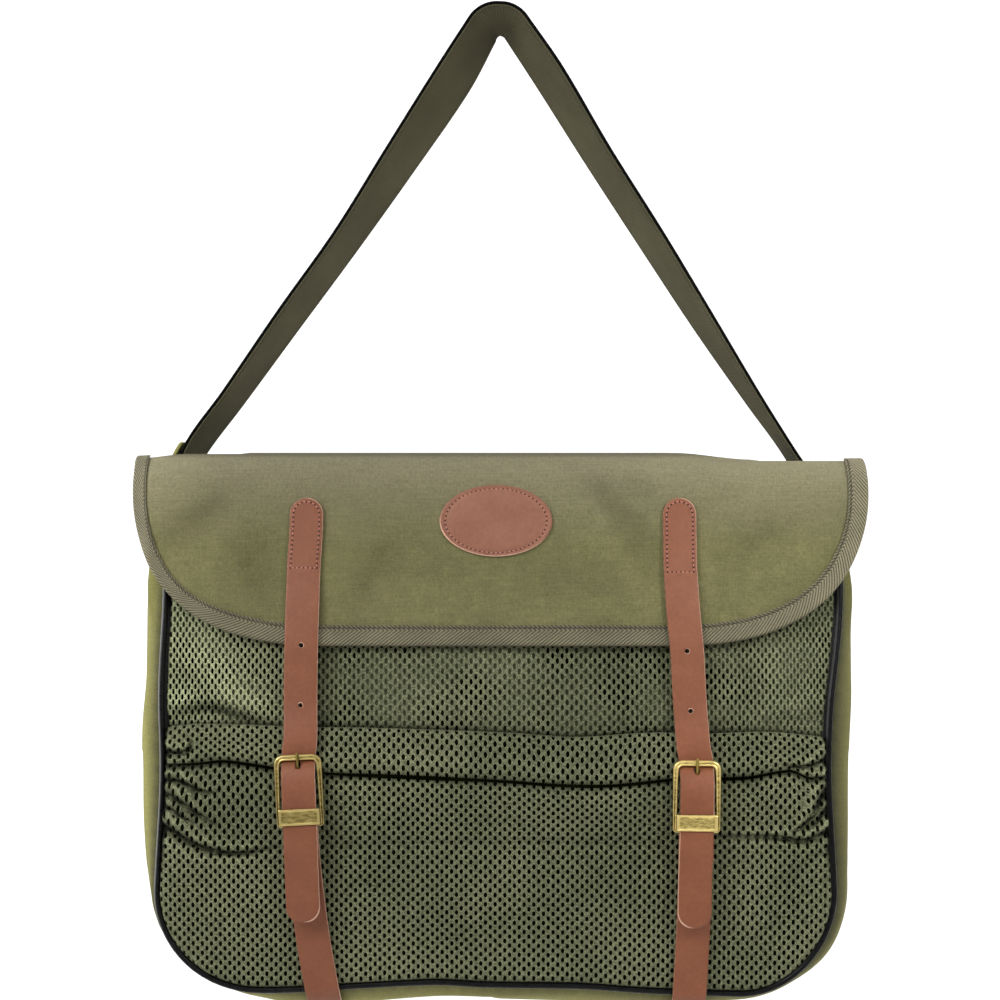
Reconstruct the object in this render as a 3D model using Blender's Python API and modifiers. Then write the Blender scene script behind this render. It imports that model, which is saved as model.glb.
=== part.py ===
"""Canvas and net game bag, hanging from the middle of its shoulder strap.

Metres, +Z up. The bag's front faces -Y and +X is to the viewer's right. The origin is
the hanging point: the middle of the shoulder strap's underside at its highest place.
"""
import math
from collections import namedtuple

import bmesh
import bpy
from mathutils import Vector

GAP = 0.0004            # room left between pieces that touch

# Bag body: a U-shaped seam line seen from the front, the same for front and back
MOUTH_Z = -0.290
BOTTOM_Z = -0.5892
HALF_WIDTH = 0.2035
CORNER_RADIUS = 0.058
WAIST = 0.0043          # how far the pocket's gathers pull the sides in
WAIST_Z = -0.456
WAIST_SPREAD = 0.060
LEAN_TOP = 0.0018       # sideways shift of the seam line, above and below
LEAN_LOW = -0.0026
FRONT_MOUTH_Y = -0.036
FRONT_LOW_Y = -0.053
BACK_Y = 0.045
FRONT_BELLY = 0.005

CANVAS = 0.0020
NET = 0.0024
PIPING_RADIUS = 0.0019
PIPING_PROUD = 0.0008
SEAM_INSET = PIPING_RADIUS + GAP

# Gusset
SIDE_BULGE = 0.0170
BulgeRow = namedtuple("BulgeRow", "run left right")
BULGE_ROWS = (           # run is the distance along the seam from the middle of the bottom
    BulgeRow(0.000, 0.0160, 0.0160),
    BulgeRow(0.115, 0.0162, 0.0162),
    BulgeRow(0.145, 0.0104, 0.0132),
    BulgeRow(0.175, 0.0064, 0.0140),
    BulgeRow(0.200, 0.0075, 0.0165),
    BulgeRow(0.220, 0.0092, 0.0150),
    BulgeRow(0.236, 0.0103, 0.0134),
    BulgeRow(0.252, 0.0122, 0.0141),
    BulgeRow(0.285, 0.0155, 0.0160),
    BulgeRow(0.330, SIDE_BULGE, SIDE_BULGE),
)
TAB_START_Z = -0.345
TAB_SPREAD_Z = -0.385
TAB_LEVELS = (-0.3370, -0.3050)
STRAP_CLEAR = 0.0013
STRAP_MID_Y = 0.003

# Net pocket
POCKET_GAP = 0.0014
HEM_Z = -0.4360
TUCK_DROP = 0.0235
SEAM_DROP = 0.0650

# Flap, seen from the front and in profile
FLAP_EDGE_HALF = 0.2204
FLAP_STRAIGHT_HALF = 0.100
FLAP_CORNER_TOP_Z = -0.282
FLAP_BOTTOM_Z = -0.3826
FLAP_CORNER_POWER = 2.5
FLAP_BELLY_SHARE = 0.6
WING_TOP_Y = -0.026
TAPE = 0.0009
TAPE_WIDTH = 0.0106

# Leather and brass
LEATHER = 0.0022
LOWER_LEATHER = 0.0020
STRAP_HALF = 0.010
HOLE_RADIUS = 0.0015
PATCH_HALF_WIDTH = 0.0339
PATCH_HALF_HEIGHT = 0.0216
PATCH_X = -0.0024
PATCH_Z = -0.3098
PATCH_THICKNESS = 0.0016
BUCKLE_WIDTH = 0.0285
BUCKLE_HEIGHT = 0.0436
BUCKLE_BAR = 0.0035
BUCKLE_DEPTH = 0.0026
BUCKLE_Y = -0.0696
BUCKLE_TOP_RADIUS = 0.0060
BUCKLE_LOW_RADIUS = 0.0025
KEEPER_WIDTH = 0.0242
KEEPER_HEIGHT = 0.0095
KEEPER_WALL = 0.0008
KEEPER_SIDE = 0.0013
PRONG_RADIUS = 0.0009
HOLE_RISES = (0.0705, 0.1060)
PRONG_HOLE_RISE = 0.0315
PRONG_HOLE_HALF = 0.0046
SLOT_WIDTH = 0.0045
SLOT_LENGTH = 0.015

# Shoulder strap
TAPE_STRAP_HALF = 0.0190
WEBBING_HALF = 0.0200
TAPE_STRAP = 0.0010
WEBBING = 0.0013
APEX_RADIUS = 0.011
APEX_ANGLE = math.radians(58)

Side = namedtuple("Side", "name sign bar_x bar_z roll mid_x mid_curl tab_z")
SIDES = (
    Side("left", -1, -0.1180, -0.4895, -2.8, 0.2160, 9.4, -0.2615),
    Side("right", 1, 0.1163, -0.4930, 0.7, 0.2150, 13.2, -0.2700),
)

# Shoulder strap legs above the bag, at the middle of the underside
LegRow = namedtuple("LegRow", "z left_x right_x left_twist right_twist")
LEG_ROWS = (
    LegRow(-0.2659, 0.1874, 0.1772, 13, 8),
    LegRow(-0.2349, 0.1649, 0.1562, 14.5, 10.5),
    LegRow(-0.1852, 0.1299, 0.1238, 18, 15),
    LegRow(-0.1356, 0.0939, 0.0925, 20, 18),
    LegRow(-0.0859, 0.0605, 0.0609, 27, 19.5),
    LegRow(-0.0362, 0.0276, 0.0304, 32, 23),
)
APEX_TWIST = 19.0
LEG_TOP_TWIST = {"left": 26.0, "right": 21.0}

# Flap profile through the middle of its cloth, from the seam on the back over the mouth
FlapRow = namedtuple("FlapRow", "y z")
FLAP_ROWS = (
    FlapRow(0.0475, -0.3010),
    FlapRow(0.0479, -0.2890),
    FlapRow(0.0438, -0.2768),
    FlapRow(0.0280, -0.2714),
    FlapRow(0.0020, -0.2696),
    FlapRow(-0.0240, -0.2697),
    FlapRow(-0.0390, -0.2785),
    FlapRow(-0.0452, -0.2940),
    FlapRow(-0.0485, -0.3200),
    FlapRow(-0.0525, -0.3500),
    FlapRow(-0.0570, -0.3840),
    FlapRow(-0.0574, -0.3900),
)

# Billets in front of the flap, then through the buckle by height above its lower bar
BilletRow = namedtuple("BilletRow", "z left_x right_x")
BILLET_ROWS = (
    BilletRow(-0.2958, -0.1161, 0.1077),
    BilletRow(-0.3150, -0.1163, 0.1078),
    BilletRow(-0.3366, -0.1175, 0.1080),
    BilletRow(-0.3652, -0.1181, 0.1095),
    BilletRow(-0.3860, -0.1185, 0.1114),
    BilletRow(-0.4149, -0.1188, 0.1129),
)
ThroughRow = namedtuple("ThroughRow", "rise y left_x right_x")
THROUGH_ROWS = (
    ThroughRow(0.0500, -0.0664, -0.1185, 0.1148),
    ThroughRow(0.0420, -0.0666, -0.1195, 0.1162),
    ThroughRow(0.0375, -0.0668, -0.1196, 0.1166),
    ThroughRow(0.0335, -0.0690, -0.1195, 0.1166),
    ThroughRow(0.0290, -0.0720, -0.1193, 0.1166),
    ThroughRow(0.0240, -0.0740, -0.1190, 0.1165),
    ThroughRow(0.0180, -0.0756, -0.1187, 0.1164),
    ThroughRow(0.0057, -0.0764, -0.1182, 0.1162),
    ThroughRow(-0.0080, -0.0762, -0.1176, 0.1158),
    ThroughRow(-0.0300, -0.0742, -0.1170, 0.1152),
    ThroughRow(-0.0570, -0.0728, -0.1160, 0.1150),
)

# Lower straps, from under the bag up its front to the buckle's lower bar
LowerRow = namedtuple("LowerRow", "y z left_x right_x")
LOWER_ROWS = (
    LowerRow(-0.0080, -0.6075, -0.1030, 0.1115),
    LowerRow(-0.0300, -0.6054, -0.1035, 0.1117),
    LowerRow(-0.0490, -0.6004, -0.1044, 0.1120),
    LowerRow(-0.0590, -0.5915, -0.1056, 0.1128),
    LowerRow(-0.0608, -0.5780, -0.1080, 0.1136),
    LowerRow(-0.0632, -0.5550, -0.1116, 0.1147),
    LowerRow(-0.0654, -0.5250, -0.1152, 0.1157),
    LowerRow(-0.0662, -0.5050, -0.1172, 0.1161),
)

# Net pocket: how far the net stands out, by distance below the hem's top edge
FoldRow = namedtuple("FoldRow", "drop proud")
FOLD_ROWS = (
    FoldRow(0.0000, 0.0010),
    FoldRow(0.0045, 0.0022),
    FoldRow(0.0100, 0.0028),
    FoldRow(0.0160, 0.0026),
    FoldRow(0.0210, 0.0012),
    FoldRow(TUCK_DROP, 0.0000),
    FoldRow(0.0260, 0.0016),
    FoldRow(0.0295, 0.0040),
    FoldRow(0.0370, 0.0052),
    FoldRow(0.0480, 0.0044),
    FoldRow(0.0585, 0.0032),
    FoldRow(SEAM_DROP, 0.0012),
    FoldRow(0.0705, 0.0026),
    FoldRow(0.0860, 0.0030),
    FoldRow(0.1050, 0.0026),
    FoldRow(0.1220, 0.0018),
    FoldRow(0.1365, 0.0010),
    FoldRow(0.1455, 0.0004),
    FoldRow(0.1505, 0.0000),
)

# Heights of the pocket's top edge and of its tuck by place across the bag
LineRow = namedtuple("LineRow", "x hem_z tuck_z")
LINE_ROWS = (
    LineRow(-0.200, -0.4335, -0.4537),
    LineRow(-0.172, -0.4316, -0.4520),
    LineRow(-0.128, -0.4326, -0.4560),
    LineRow(-0.060, -0.4340, -0.4596),
    LineRow(0.004, -0.4364, -0.4625),
    LineRow(0.045, -0.4389, -0.4652),
    LineRow(0.090, -0.4364, -0.4630),
    LineRow(0.126, -0.4368, -0.4610),
    LineRow(0.160, -0.4362, -0.4590),
    LineRow(0.196, -0.4390, -0.4590),
)
GATHER_DEPTH = 0.0028
GATHER_PITCH = 0.0135
GATHER_REACH = 0.050
STRAP_PRESS = 0.65      # share of the pocket's fullness that the leather straps press flat
STRAP_PRESS_X = 0.114
STRAP_PRESS_HALF = 0.018

COLOURS = {
    "canvas": ((0.20, 0.19, 0.09), 0.85, 0.0),
    "net": ((0.12, 0.13, 0.07), 0.90, 0.0),
    "tape": ((0.20, 0.18, 0.12), 0.85, 0.0),
    "piping": ((0.025, 0.025, 0.022), 0.45, 0.0),
    "leather": ((0.27, 0.11, 0.065), 0.50, 0.0),
    "brass": ((0.60, 0.46, 0.18), 0.35, 1.0),
    "strap_tape": ((0.10, 0.095, 0.055), 0.85, 0.0),
    "webbing": ((0.010, 0.010, 0.009), 0.80, 0.0),
}


def mix(a, b, t):
    return a + (b - a) * t


def ease(start, end, value):
    """0 at start, 1 at end and smooth between; start may be the larger."""
    t = min(max((value - start) / (end - start), 0.0), 1.0)
    return t * t * (3 - 2 * t)


def through(xs, ys, at):
    """Smooth curve through the points of two columns, xs rising or falling."""
    if xs[0] > xs[-1]:
        xs, ys = xs[::-1], ys[::-1]
    at = min(max(at, xs[0]), xs[-1])
    last = len(xs) - 1
    i = max(j for j in range(last) if xs[j] <= at)

    def slope(j):
        low, high = max(j - 1, 0), min(j + 1, last)
        return (ys[high] - ys[low]) / (xs[high] - xs[low])

    step = xs[i + 1] - xs[i]
    t = (at - xs[i]) / step
    start, end = slope(i) * step, slope(i + 1) * step
    return ((2 * t**3 - 3 * t**2 + 1) * ys[i] + (t**3 - 2 * t**2 + t) * start
            + (3 * t**2 - 2 * t**3) * ys[i + 1] + (t**3 - t**2) * end)


def column(rows, name):
    return [getattr(row, name) for row in rows]


def spaced(start, end, count):
    return [mix(start, end, i / count) for i in range(count + 1)]


def clear_scene():
    for obj in list(bpy.data.objects):
        bpy.data.objects.remove(obj, do_unlink=True)


def make_materials():
    made = {}
    for name, (colour, roughness, metallic) in COLOURS.items():
        material = bpy.data.materials.new(name)
        material.use_nodes = True
        shader = material.node_tree.nodes["Principled BSDF"]
        shader.inputs["Base Color"].default_value = (*colour, 1)
        shader.inputs["Roughness"].default_value = roughness
        shader.inputs["Metallic"].default_value = metallic
        made[name] = material
    return made


def new_collection(name):
    collection = bpy.data.collections.new(name)
    bpy.context.scene.collection.children.link(collection)
    return collection


clear_scene()
MATERIALS = make_materials()
BAG = new_collection("game_bag")
CUTTERS = new_collection("cutters")


def own_material(name, finish):
    material = MATERIALS[finish].copy()
    material.name = name
    return material


def add_object(name, data, finish):
    obj = bpy.data.objects.new(name, data)
    BAG.objects.link(obj)
    data.materials.append(own_material(name, finish))
    return obj


def sheet(name, finish, across, along, place, thickness, cut_out=None):
    """A cloth or leather sheet: a grid set out by place(u, v) and thickened both ways.

    Grid faces for which cut_out(u, v) is true at all corners are left out.
    """
    mesh = bpy.data.meshes.new(name)
    bm = bmesh.new()
    bmesh.ops.create_grid(bm, x_segments=len(across) - 1, y_segments=len(along) - 1, size=1)
    outside = set()
    for vert in bm.verts:
        i = round((vert.co.x + 1) / 2 * (len(across) - 1))
        j = round((vert.co.y + 1) / 2 * (len(along) - 1))
        vert.co = place(across[i], along[j])
        if cut_out and cut_out(across[i], along[j]):
            outside.add(vert)
    dropped = [face for face in bm.faces if all(vert in outside for vert in face.verts)]
    bmesh.ops.delete(bm, geom=dropped, context="FACES")
    bm.to_mesh(mesh)
    bm.free()
    obj = add_object(name, mesh, finish)
    solidify = obj.modifiers.new("thickness", "SOLIDIFY")
    solidify.thickness = thickness
    solidify.offset = 0
    solidify.use_even_offset = True
    mesh.shade_smooth()
    mesh.set_sharp_from_angle(angle=math.radians(50))
    return obj


def tube(name, finish, points, radius, resolution=2):
    """A round piece that follows points, with flat ends."""
    curve = bpy.data.curves.new(name, "CURVE")
    curve.dimensions = "3D"
    curve.bevel_depth = radius
    curve.bevel_resolution = resolution
    curve.use_fill_caps = True
    spline = curve.splines.new("POLY")
    spline.points.add(len(points) - 1)
    for point, place in zip(spline.points, points):
        point.co = (*place, 1)
    return add_object(name, curve, finish)


def rounded_outline(half_width, low, high, low_radius, high_radius, steps=4):
    """Corners of a rounded rectangle, anticlockwise from the lower right."""
    corners = ((1, low, low_radius, -90), (1, high, high_radius, 0),
               (-1, high, high_radius, 90), (-1, low, low_radius, 180))
    points = []
    for sign, level, radius, start in corners:
        centre_x = sign * (half_width - radius)
        centre_y = level + radius if level == low else level - radius
        for angle in spaced(math.radians(start), math.radians(start + 90), steps):
            points.append((centre_x + radius * math.cos(angle), centre_y + radius * math.sin(angle)))
    return points


def flat_ring(name, finish, outlines, half_depth, edge):
    """A flat piece with the first outline outside and the rest as holes."""
    curve = bpy.data.curves.new(name, "CURVE")
    curve.dimensions = "2D"
    curve.fill_mode = "BOTH"
    curve.extrude = half_depth - edge
    curve.bevel_depth = edge
    curve.bevel_resolution = 0
    curve.offset = -edge
    for outline in outlines:
        spline = curve.splines.new("POLY")
        spline.points.add(len(outline) - 1)
        spline.use_cyclic_u = True
        for point, (x, y) in zip(spline.points, outline):
            point.co = (x, y, 0, 1)
    return add_object(name, curve, finish)


def cut(obj, cutter):
    cutter.hide_render = True
    cutter.display_type = "WIRE"
    modifier = obj.modifiers.new("cut", "BOOLEAN")
    modifier.operation = "DIFFERENCE"
    modifier.solver = "EXACT"
    modifier.object = cutter


def new_cutter(name, bm):
    mesh = bpy.data.meshes.new(name)
    bm.to_mesh(mesh)
    bm.free()
    cutter = bpy.data.objects.new(name, mesh)
    CUTTERS.objects.link(cutter)
    return cutter


# The seam line

CORNER_Z = BOTTOM_Z + CORNER_RADIUS


def lean(z):
    return mix(LEAN_TOP, LEAN_LOW, ease(-0.35, -0.43, z))


def half_width(z, inset=0.0):
    if z >= CORNER_Z:
        return HALF_WIDTH - WAIST * math.exp(-((z - WAIST_Z) / WAIST_SPREAD) ** 2) - inset
    radius = CORNER_RADIUS - inset
    return half_width(CORNER_Z) - CORNER_RADIUS + math.sqrt(max(radius**2 - (CORNER_Z - z) ** 2, 0))


def front_y(z):
    return mix(FRONT_MOUTH_Y, FRONT_LOW_Y, ease(-0.29, -0.45, z))


BOTTOM_RUN = half_width(CORNER_Z) - CORNER_RADIUS
CORNER_RUN = CORNER_RADIUS * math.pi / 2


def seam_at(distance):
    """Point and outward direction on the seam, by signed distance from the bottom's middle."""
    sign = 1 if distance >= 0 else -1
    run = abs(distance)
    if run <= BOTTOM_RUN:
        x, z, out = run, BOTTOM_Z, (0, -1)
    elif run <= BOTTOM_RUN + CORNER_RUN:
        angle = (run - BOTTOM_RUN) / CORNER_RADIUS
        x = BOTTOM_RUN + CORNER_RADIUS * math.sin(angle)
        z = CORNER_Z - CORNER_RADIUS * math.cos(angle)
        out = (math.sin(angle), -math.cos(angle))
    else:
        z = min(CORNER_Z + run - BOTTOM_RUN - CORNER_RUN, MOUTH_Z)
        x, out = half_width(z), (1, 0)
    return sign * x + lean(z), z, (sign * out[0], out[1])


SEAM_LEVELS = (-0.4925, -0.4560, -0.4200, -0.3850, -0.3550, -0.3200, MOUTH_Z)
CORNER_ROWS = 6


def seam_stations(levels=SEAM_LEVELS):
    """Signed distances along the whole seam, from the left mouth to the right one."""
    corner_end = BOTTOM_RUN + CORNER_RUN
    half = spaced(0, BOTTOM_RUN, 2)[1:]
    half += spaced(BOTTOM_RUN, corner_end, CORNER_ROWS)[1:]
    half += [corner_end + z - CORNER_Z for z in levels]
    return [-d for d in reversed(half)] + [0.0] + half


def make_piping(name, middle_y):
    points = []
    for distance in seam_stations():
        x, z, _ = seam_at(distance)
        points.append((x, middle_y(z), z))
    tube(name, "piping", points, PIPING_RADIUS)


# Gusset

def tab_line(side, z):
    """Sideways place of the gusset's middle near the mouth, where it follows the strap."""
    return side.mid_x - side.mid_curl * max(z + 0.40, 0) ** 3


def gusset_place(w, distance):
    """Middle of the gusset's cloth; w runs from the front seam to the back one."""
    x, z, out = seam_at(distance)
    beside = PIPING_RADIUS - PIPING_PROUD + GAP + 0.0002
    y = mix(front_y(z) + beside, BACK_Y - beside, w)
    crown = 1 - abs(2 * w - 1) ** 2.4
    side = SIDES[0] if distance < 0 else SIDES[1]
    bulge = through(column(BULGE_ROWS, "run"), column(BULGE_ROWS, side.name), abs(distance)) * crown
    if z < -0.45:
        return Vector((x + out[0] * bulge, y, z + out[1] * bulge))
    flat = ease(0.08, 0.19, w) * (1 - ease(0.775, 0.90, w))
    rise = ease(0.12, 0.27, w) * (1 - ease(0.72, 0.88, w))
    tab_z = z + (side.tab_z - MOUTH_Z) * rise * ease(TAB_START_Z, MOUTH_Z, z)
    reach = mix(abs(x) + SIDE_BULGE, tab_line(side, tab_z), ease(-0.45, -0.40, z))
    spread = mix(crown, max(crown, flat), ease(TAB_SPREAD_Z, TAB_START_Z, z))
    slope = 3 * side.mid_curl * max(tab_z + 0.40, 0) ** 2
    tilt = math.tan(math.radians(strap_twist(side, tab_z))) * math.hypot(1, slope)
    tilt *= flat * (STRAP_MID_Y - y)
    return Vector((side.sign * (mix(abs(x), reach, spread) + tilt), y, tab_z))


def make_gusset():
    across = [0, 0.07, 0.13, 0.19, 0.33, 0.5, 0.66, 0.775, 0.85, 0.93, 1]
    levels = sorted(SEAM_LEVELS + TAB_LEVELS)
    sheet("gusset", "canvas", across, seam_stations(levels), gusset_place, CANVAS)


# Front, pocket and back

def belly(x, z):
    across = 1 - (x / HALF_WIDTH) ** 2
    upper = mix(1.0, 0.3, ease(MOUTH_Z - 0.06, MOUTH_Z, z))
    return FRONT_BELLY * across * upper * ease(BOTTOM_Z, BOTTOM_Z + 0.07, z)


def net_y(x, z):
    return front_y(z) - belly(x, z)


def net_edge(z):
    return half_width(z, SEAM_INSET)


def panel_rows():
    """Heights of a panel's rows, level with the seam's own rows beside it."""
    turn = [CORNER_Z - (CORNER_RADIUS - SEAM_INSET) * math.sin(angle)
            for angle in spaced(0, math.pi / 2, CORNER_ROWS)]
    return list(reversed(SEAM_LEVELS)) + turn


def make_front():
    def place(u, z):
        x = u * net_edge(z) + lean(z)
        return Vector((x, net_y(x, z), z))

    sheet("front_net", "net", spaced(-1, 1, 12), panel_rows(), place, NET)


def make_back():
    def place(u, z):
        return Vector((u * net_edge(z) + lean(z), BACK_Y, z))

    sheet("back_panel", "canvas", spaced(-1, 1, 6), panel_rows(), place, CANVAS)


def line_shift(name, x, level):
    """How far one of the pocket's uneven lines lies above its nominal height."""
    return through(column(LINE_ROWS, "x"), column(LINE_ROWS, name), x) - level


def pocket_place(u, drop):
    z = HEM_Z - drop
    x = u * (net_edge(z) - 0.0006) + lean(z)
    hem = 1 - ease(0.0, TUCK_DROP, drop)
    tuck = ease(0.0, TUCK_DROP, drop) * (1 - ease(TUCK_DROP, SEAM_DROP, drop))
    z += line_shift("hem_z", x, HEM_Z) * hem
    z += line_shift("tuck_z", x, HEM_Z - TUCK_DROP) * tuck
    proud = through(column(FOLD_ROWS, "drop"), column(FOLD_ROWS, "proud"), drop)
    side_fade = ease(1 - GATHER_REACH / HALF_WIDTH * 2, 1.0, abs(u))
    gather = 0.5 + 0.5 * math.cos(2 * math.pi * (drop - 0.004 - abs(u) * 0.018) / GATHER_PITCH)
    zone = ease(0.000, 0.012, drop) * (1 - ease(0.055, 0.078, drop))
    proud += GATHER_DEPTH * gather * side_fade * zone
    proud *= 1 - 0.75 * ease(0.94, 1.0, abs(u))
    proud *= 1 - STRAP_PRESS * math.exp(-((abs(x) - STRAP_PRESS_X) / STRAP_PRESS_HALF) ** 2)
    gap = mix(POCKET_GAP, GAP, ease(CORNER_Z, BOTTOM_Z + 0.010, z))
    return Vector((x, net_y(x, z) - NET - gap - proud, z))


def make_pocket():
    rows = [0.0, 0.0045, 0.009, 0.0135, 0.0175, 0.021, TUCK_DROP, 0.026, 0.0295, 0.0345, 0.041,
            0.047, 0.053, 0.0595, SEAM_DROP, 0.0705, 0.083]
    depth = HEM_Z - BOTTOM_Z - SEAM_INSET
    turn = CORNER_RADIUS - SEAM_INSET
    rows += [depth - turn + turn * math.sin(a) for a in spaced(0, math.pi / 2, 6)]
    across = [-1, -0.975, -0.93, -0.87, -0.80, -0.70, -0.58, -0.42, -0.25, -0.08, 0.08,
              0.25, 0.42, 0.58, 0.70, 0.80, 0.87, 0.93, 0.975, 1]
    sheet("net_pocket", "net", across, rows, pocket_place, NET)


# Flap

FLAP_STEPS = 12


def flap_curve():
    """Fine points of the flap's profile with their distance along it."""
    index = list(range(len(FLAP_ROWS)))
    ys, zs = column(FLAP_ROWS, "y"), column(FLAP_ROWS, "z")
    steps = spaced(0, index[-1], index[-1] * FLAP_STEPS)
    points = [(through(index, ys, t), through(index, zs, t)) for t in steps]
    runs = [0.0]
    for before, after in zip(points, points[1:]):
        runs.append(runs[-1] + math.dist(before, after))
    return points, runs


FLAP_POINTS, FLAP_RUNS = flap_curve()


def flap_run(wanted, axis, start=0.0):
    """Distance along the profile where y (axis 0) or z (axis 1) falls to a value."""
    for point, run in zip(FLAP_POINTS, FLAP_RUNS):
        if run >= start and point[axis] <= wanted:
            return run
    return FLAP_RUNS[-1]


WING_RUN = flap_run(WING_TOP_Y, 0)
FRONT_RUN = flap_run(FLAP_CORNER_TOP_Z, 1, WING_RUN)


def droop(x):
    return -0.0042 * ease(0.105, 0.155, x) - 0.0025 * ease(-0.19, -0.22, x)


def flap_at(x, run, out=0.0):
    """Point of the flap's cloth, out metres in front of its middle."""
    run = min(max(run, 0.0), FLAP_RUNS[-1])
    i = max(j for j in range(len(FLAP_RUNS) - 1) if FLAP_RUNS[j] <= run)
    t = (run - FLAP_RUNS[i]) / (FLAP_RUNS[i + 1] - FLAP_RUNS[i])
    (y0, z0), (y1, z1) = FLAP_POINTS[i], FLAP_POINTS[i + 1]
    length = math.dist((y0, z0), (y1, z1))
    out_y, out_z = (z1 - z0) / length, -(y1 - y0) / length
    y, z = mix(y0, y1, t) + out * out_y, mix(z0, z1, t) + out * out_z
    front = ease(FRONT_RUN, FRONT_RUN + 0.05, run)
    y += FRONT_BELLY * FLAP_BELLY_SHARE * (x / FLAP_EDGE_HALF) ** 2 * front
    top = 1 - ease(FRONT_RUN, FRONT_RUN + 0.05, run)
    return Vector((x, y, z + droop(x) * top * ease(0.01, 0.05, run)))


def flap_corner(angle):
    """Half of the flap's outline below its corner, as x and distance along the profile."""
    power = 2 / FLAP_CORNER_POWER
    reach = (FLAP_EDGE_HALF - FLAP_STRAIGHT_HALF) * max(math.cos(angle), 0) ** power
    depth = (FLAP_CORNER_TOP_Z - FLAP_BOTTOM_Z) * math.sin(angle) ** power
    z = FLAP_CORNER_TOP_Z - depth
    return FLAP_STRAIGHT_HALF + reach, flap_run_smooth(z)


def flap_run_smooth(z):
    start = next(i for i, run in enumerate(FLAP_RUNS) if run >= WING_RUN)
    zs = [point[1] for point in FLAP_POINTS[start:]]
    return through(zs, FLAP_RUNS[start:], z)


CORNER_ANGLES = [math.radians(2)] + spaced(math.radians(9), math.pi / 2, 8)
NECK_ANGLE = 7
BACK_RUNS = [WING_RUN * share for share in (0, 0.17, 0.32, 0.46, 0.62, 0.80, 1)]
SHOULDER_RUNS = spaced(WING_RUN, FRONT_RUN, 4)[1:]
FRONT_SHARES = (0.16, 0.36, 0.58, 0.80, 1)


def flap_columns():
    """Places across the flap, with the distance where each column ends."""
    bottom = flap_corner(math.pi / 2)[1]
    half = [(x, bottom) for x in (0.0, 0.035, 0.07)]
    half += [flap_corner(angle) for angle in reversed(CORNER_ANGLES)]
    return [(-x, end) for x, end in reversed(half[1:])] + half


def make_flap():
    """The neck is sewn to the back; the wings beside it begin at the fold over the mouth."""
    columns = flap_columns()
    neck = flap_corner(CORNER_ANGLES[NECK_ANGLE])[0]
    shared = BACK_RUNS + SHOULDER_RUNS

    def place(u, v):
        x, end = columns[u]
        if v < len(shared):
            return flap_at(x, shared[v])
        return flap_at(x, mix(FRONT_RUN, end, FRONT_SHARES[v - len(shared)]))

    def beside_neck(u, v):
        return v < len(BACK_RUNS) and abs(columns[u][0]) >= neck - 0.0001

    rows = list(range(len(shared) + len(FRONT_SHARES)))
    sheet("flap", "canvas", list(range(len(columns))), rows, place, CANVAS, beside_neck)


def flap_outline():
    """Edge of the flap as (x, run, inward x, inward run), from the left wing to the right."""
    lowest = flap_corner(math.pi / 2)[1]
    half = [(0.0, lowest), (0.05, lowest)]
    half += [flap_corner(angle) for angle in reversed(CORNER_ANGLES)]
    half += [(FLAP_EDGE_HALF, run) for run in reversed([WING_RUN] + SHOULDER_RUNS)]
    points = [(-x, run) for x, run in reversed(half[1:])] + half
    outline = []
    for i, (x, run) in enumerate(points):
        before, after = points[max(i - 1, 0)], points[min(i + 1, len(points) - 1)]
        along_x, along_run = after[0] - before[0], after[1] - before[1]
        length = math.hypot(along_x, along_run)
        outline.append((x, run, along_run / length, -along_x / length))
    return outline


def make_binding():
    """Tape folded over the flap's edge: front leaf, round edge, back leaf."""
    side = CANVAS / 2 + 2 * GAP + TAPE / 2
    wrap = GAP + TAPE
    leaves = [(TAPE_WIDTH, side), (0, side), (-wrap, side / 2),
              (-wrap, -side / 2), (0, -side), (TAPE_WIDTH, -side)]
    outline = flap_outline()

    def place(u, v):
        x, run, in_x, in_run = outline[v]
        inward, out = leaves[u]
        return flap_at(x + in_x * inward, run + in_run * inward, out)

    sheet("flap_binding", "tape", list(range(len(leaves))), list(range(len(outline))), place, TAPE)


def make_patch():
    middle = flap_run_smooth(PATCH_Z)

    def place(u, v):
        x = PATCH_X + PATCH_HALF_WIDTH * u * math.sqrt(1 - v * v / 2)
        run = middle - PATCH_HALF_HEIGHT * v * math.sqrt(1 - u * u / 2)
        return flap_at(x, run, CANVAS / 2 + GAP + PATCH_THICKNESS / 2)

    sheet("patch", "leather", spaced(-1, 1, 8), spaced(-1, 1, 6), place, PATCH_THICKNESS)


# Leather straps and buckles

def band(name, finish, centres, tilts, half_widths, thickness):
    """A leather strap along centres, its width across the bag and tilted in the front's plane."""
    def place(u, v):
        width = Vector((math.cos(tilts[v]), 0, -math.sin(tilts[v])))
        return centres[v] + width * u * half_widths[v]

    return sheet(name, finish, spaced(-1, 1, 2), list(range(len(centres))), place, thickness)


def lean_of(points, i):
    """Angle from upright of the line through the neighbours of a point."""
    before, after = points[max(i - 1, 0)], points[min(i + 1, len(points) - 1)]
    return math.atan((after.x - before.x) / (after.z - before.z))


def rounded(distance, radius=STRAP_HALF):
    """Half width of a strap at a distance from its round end."""
    if distance >= radius:
        return STRAP_HALF
    return STRAP_HALF - radius + math.sqrt(radius**2 - (radius - distance) ** 2)


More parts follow.
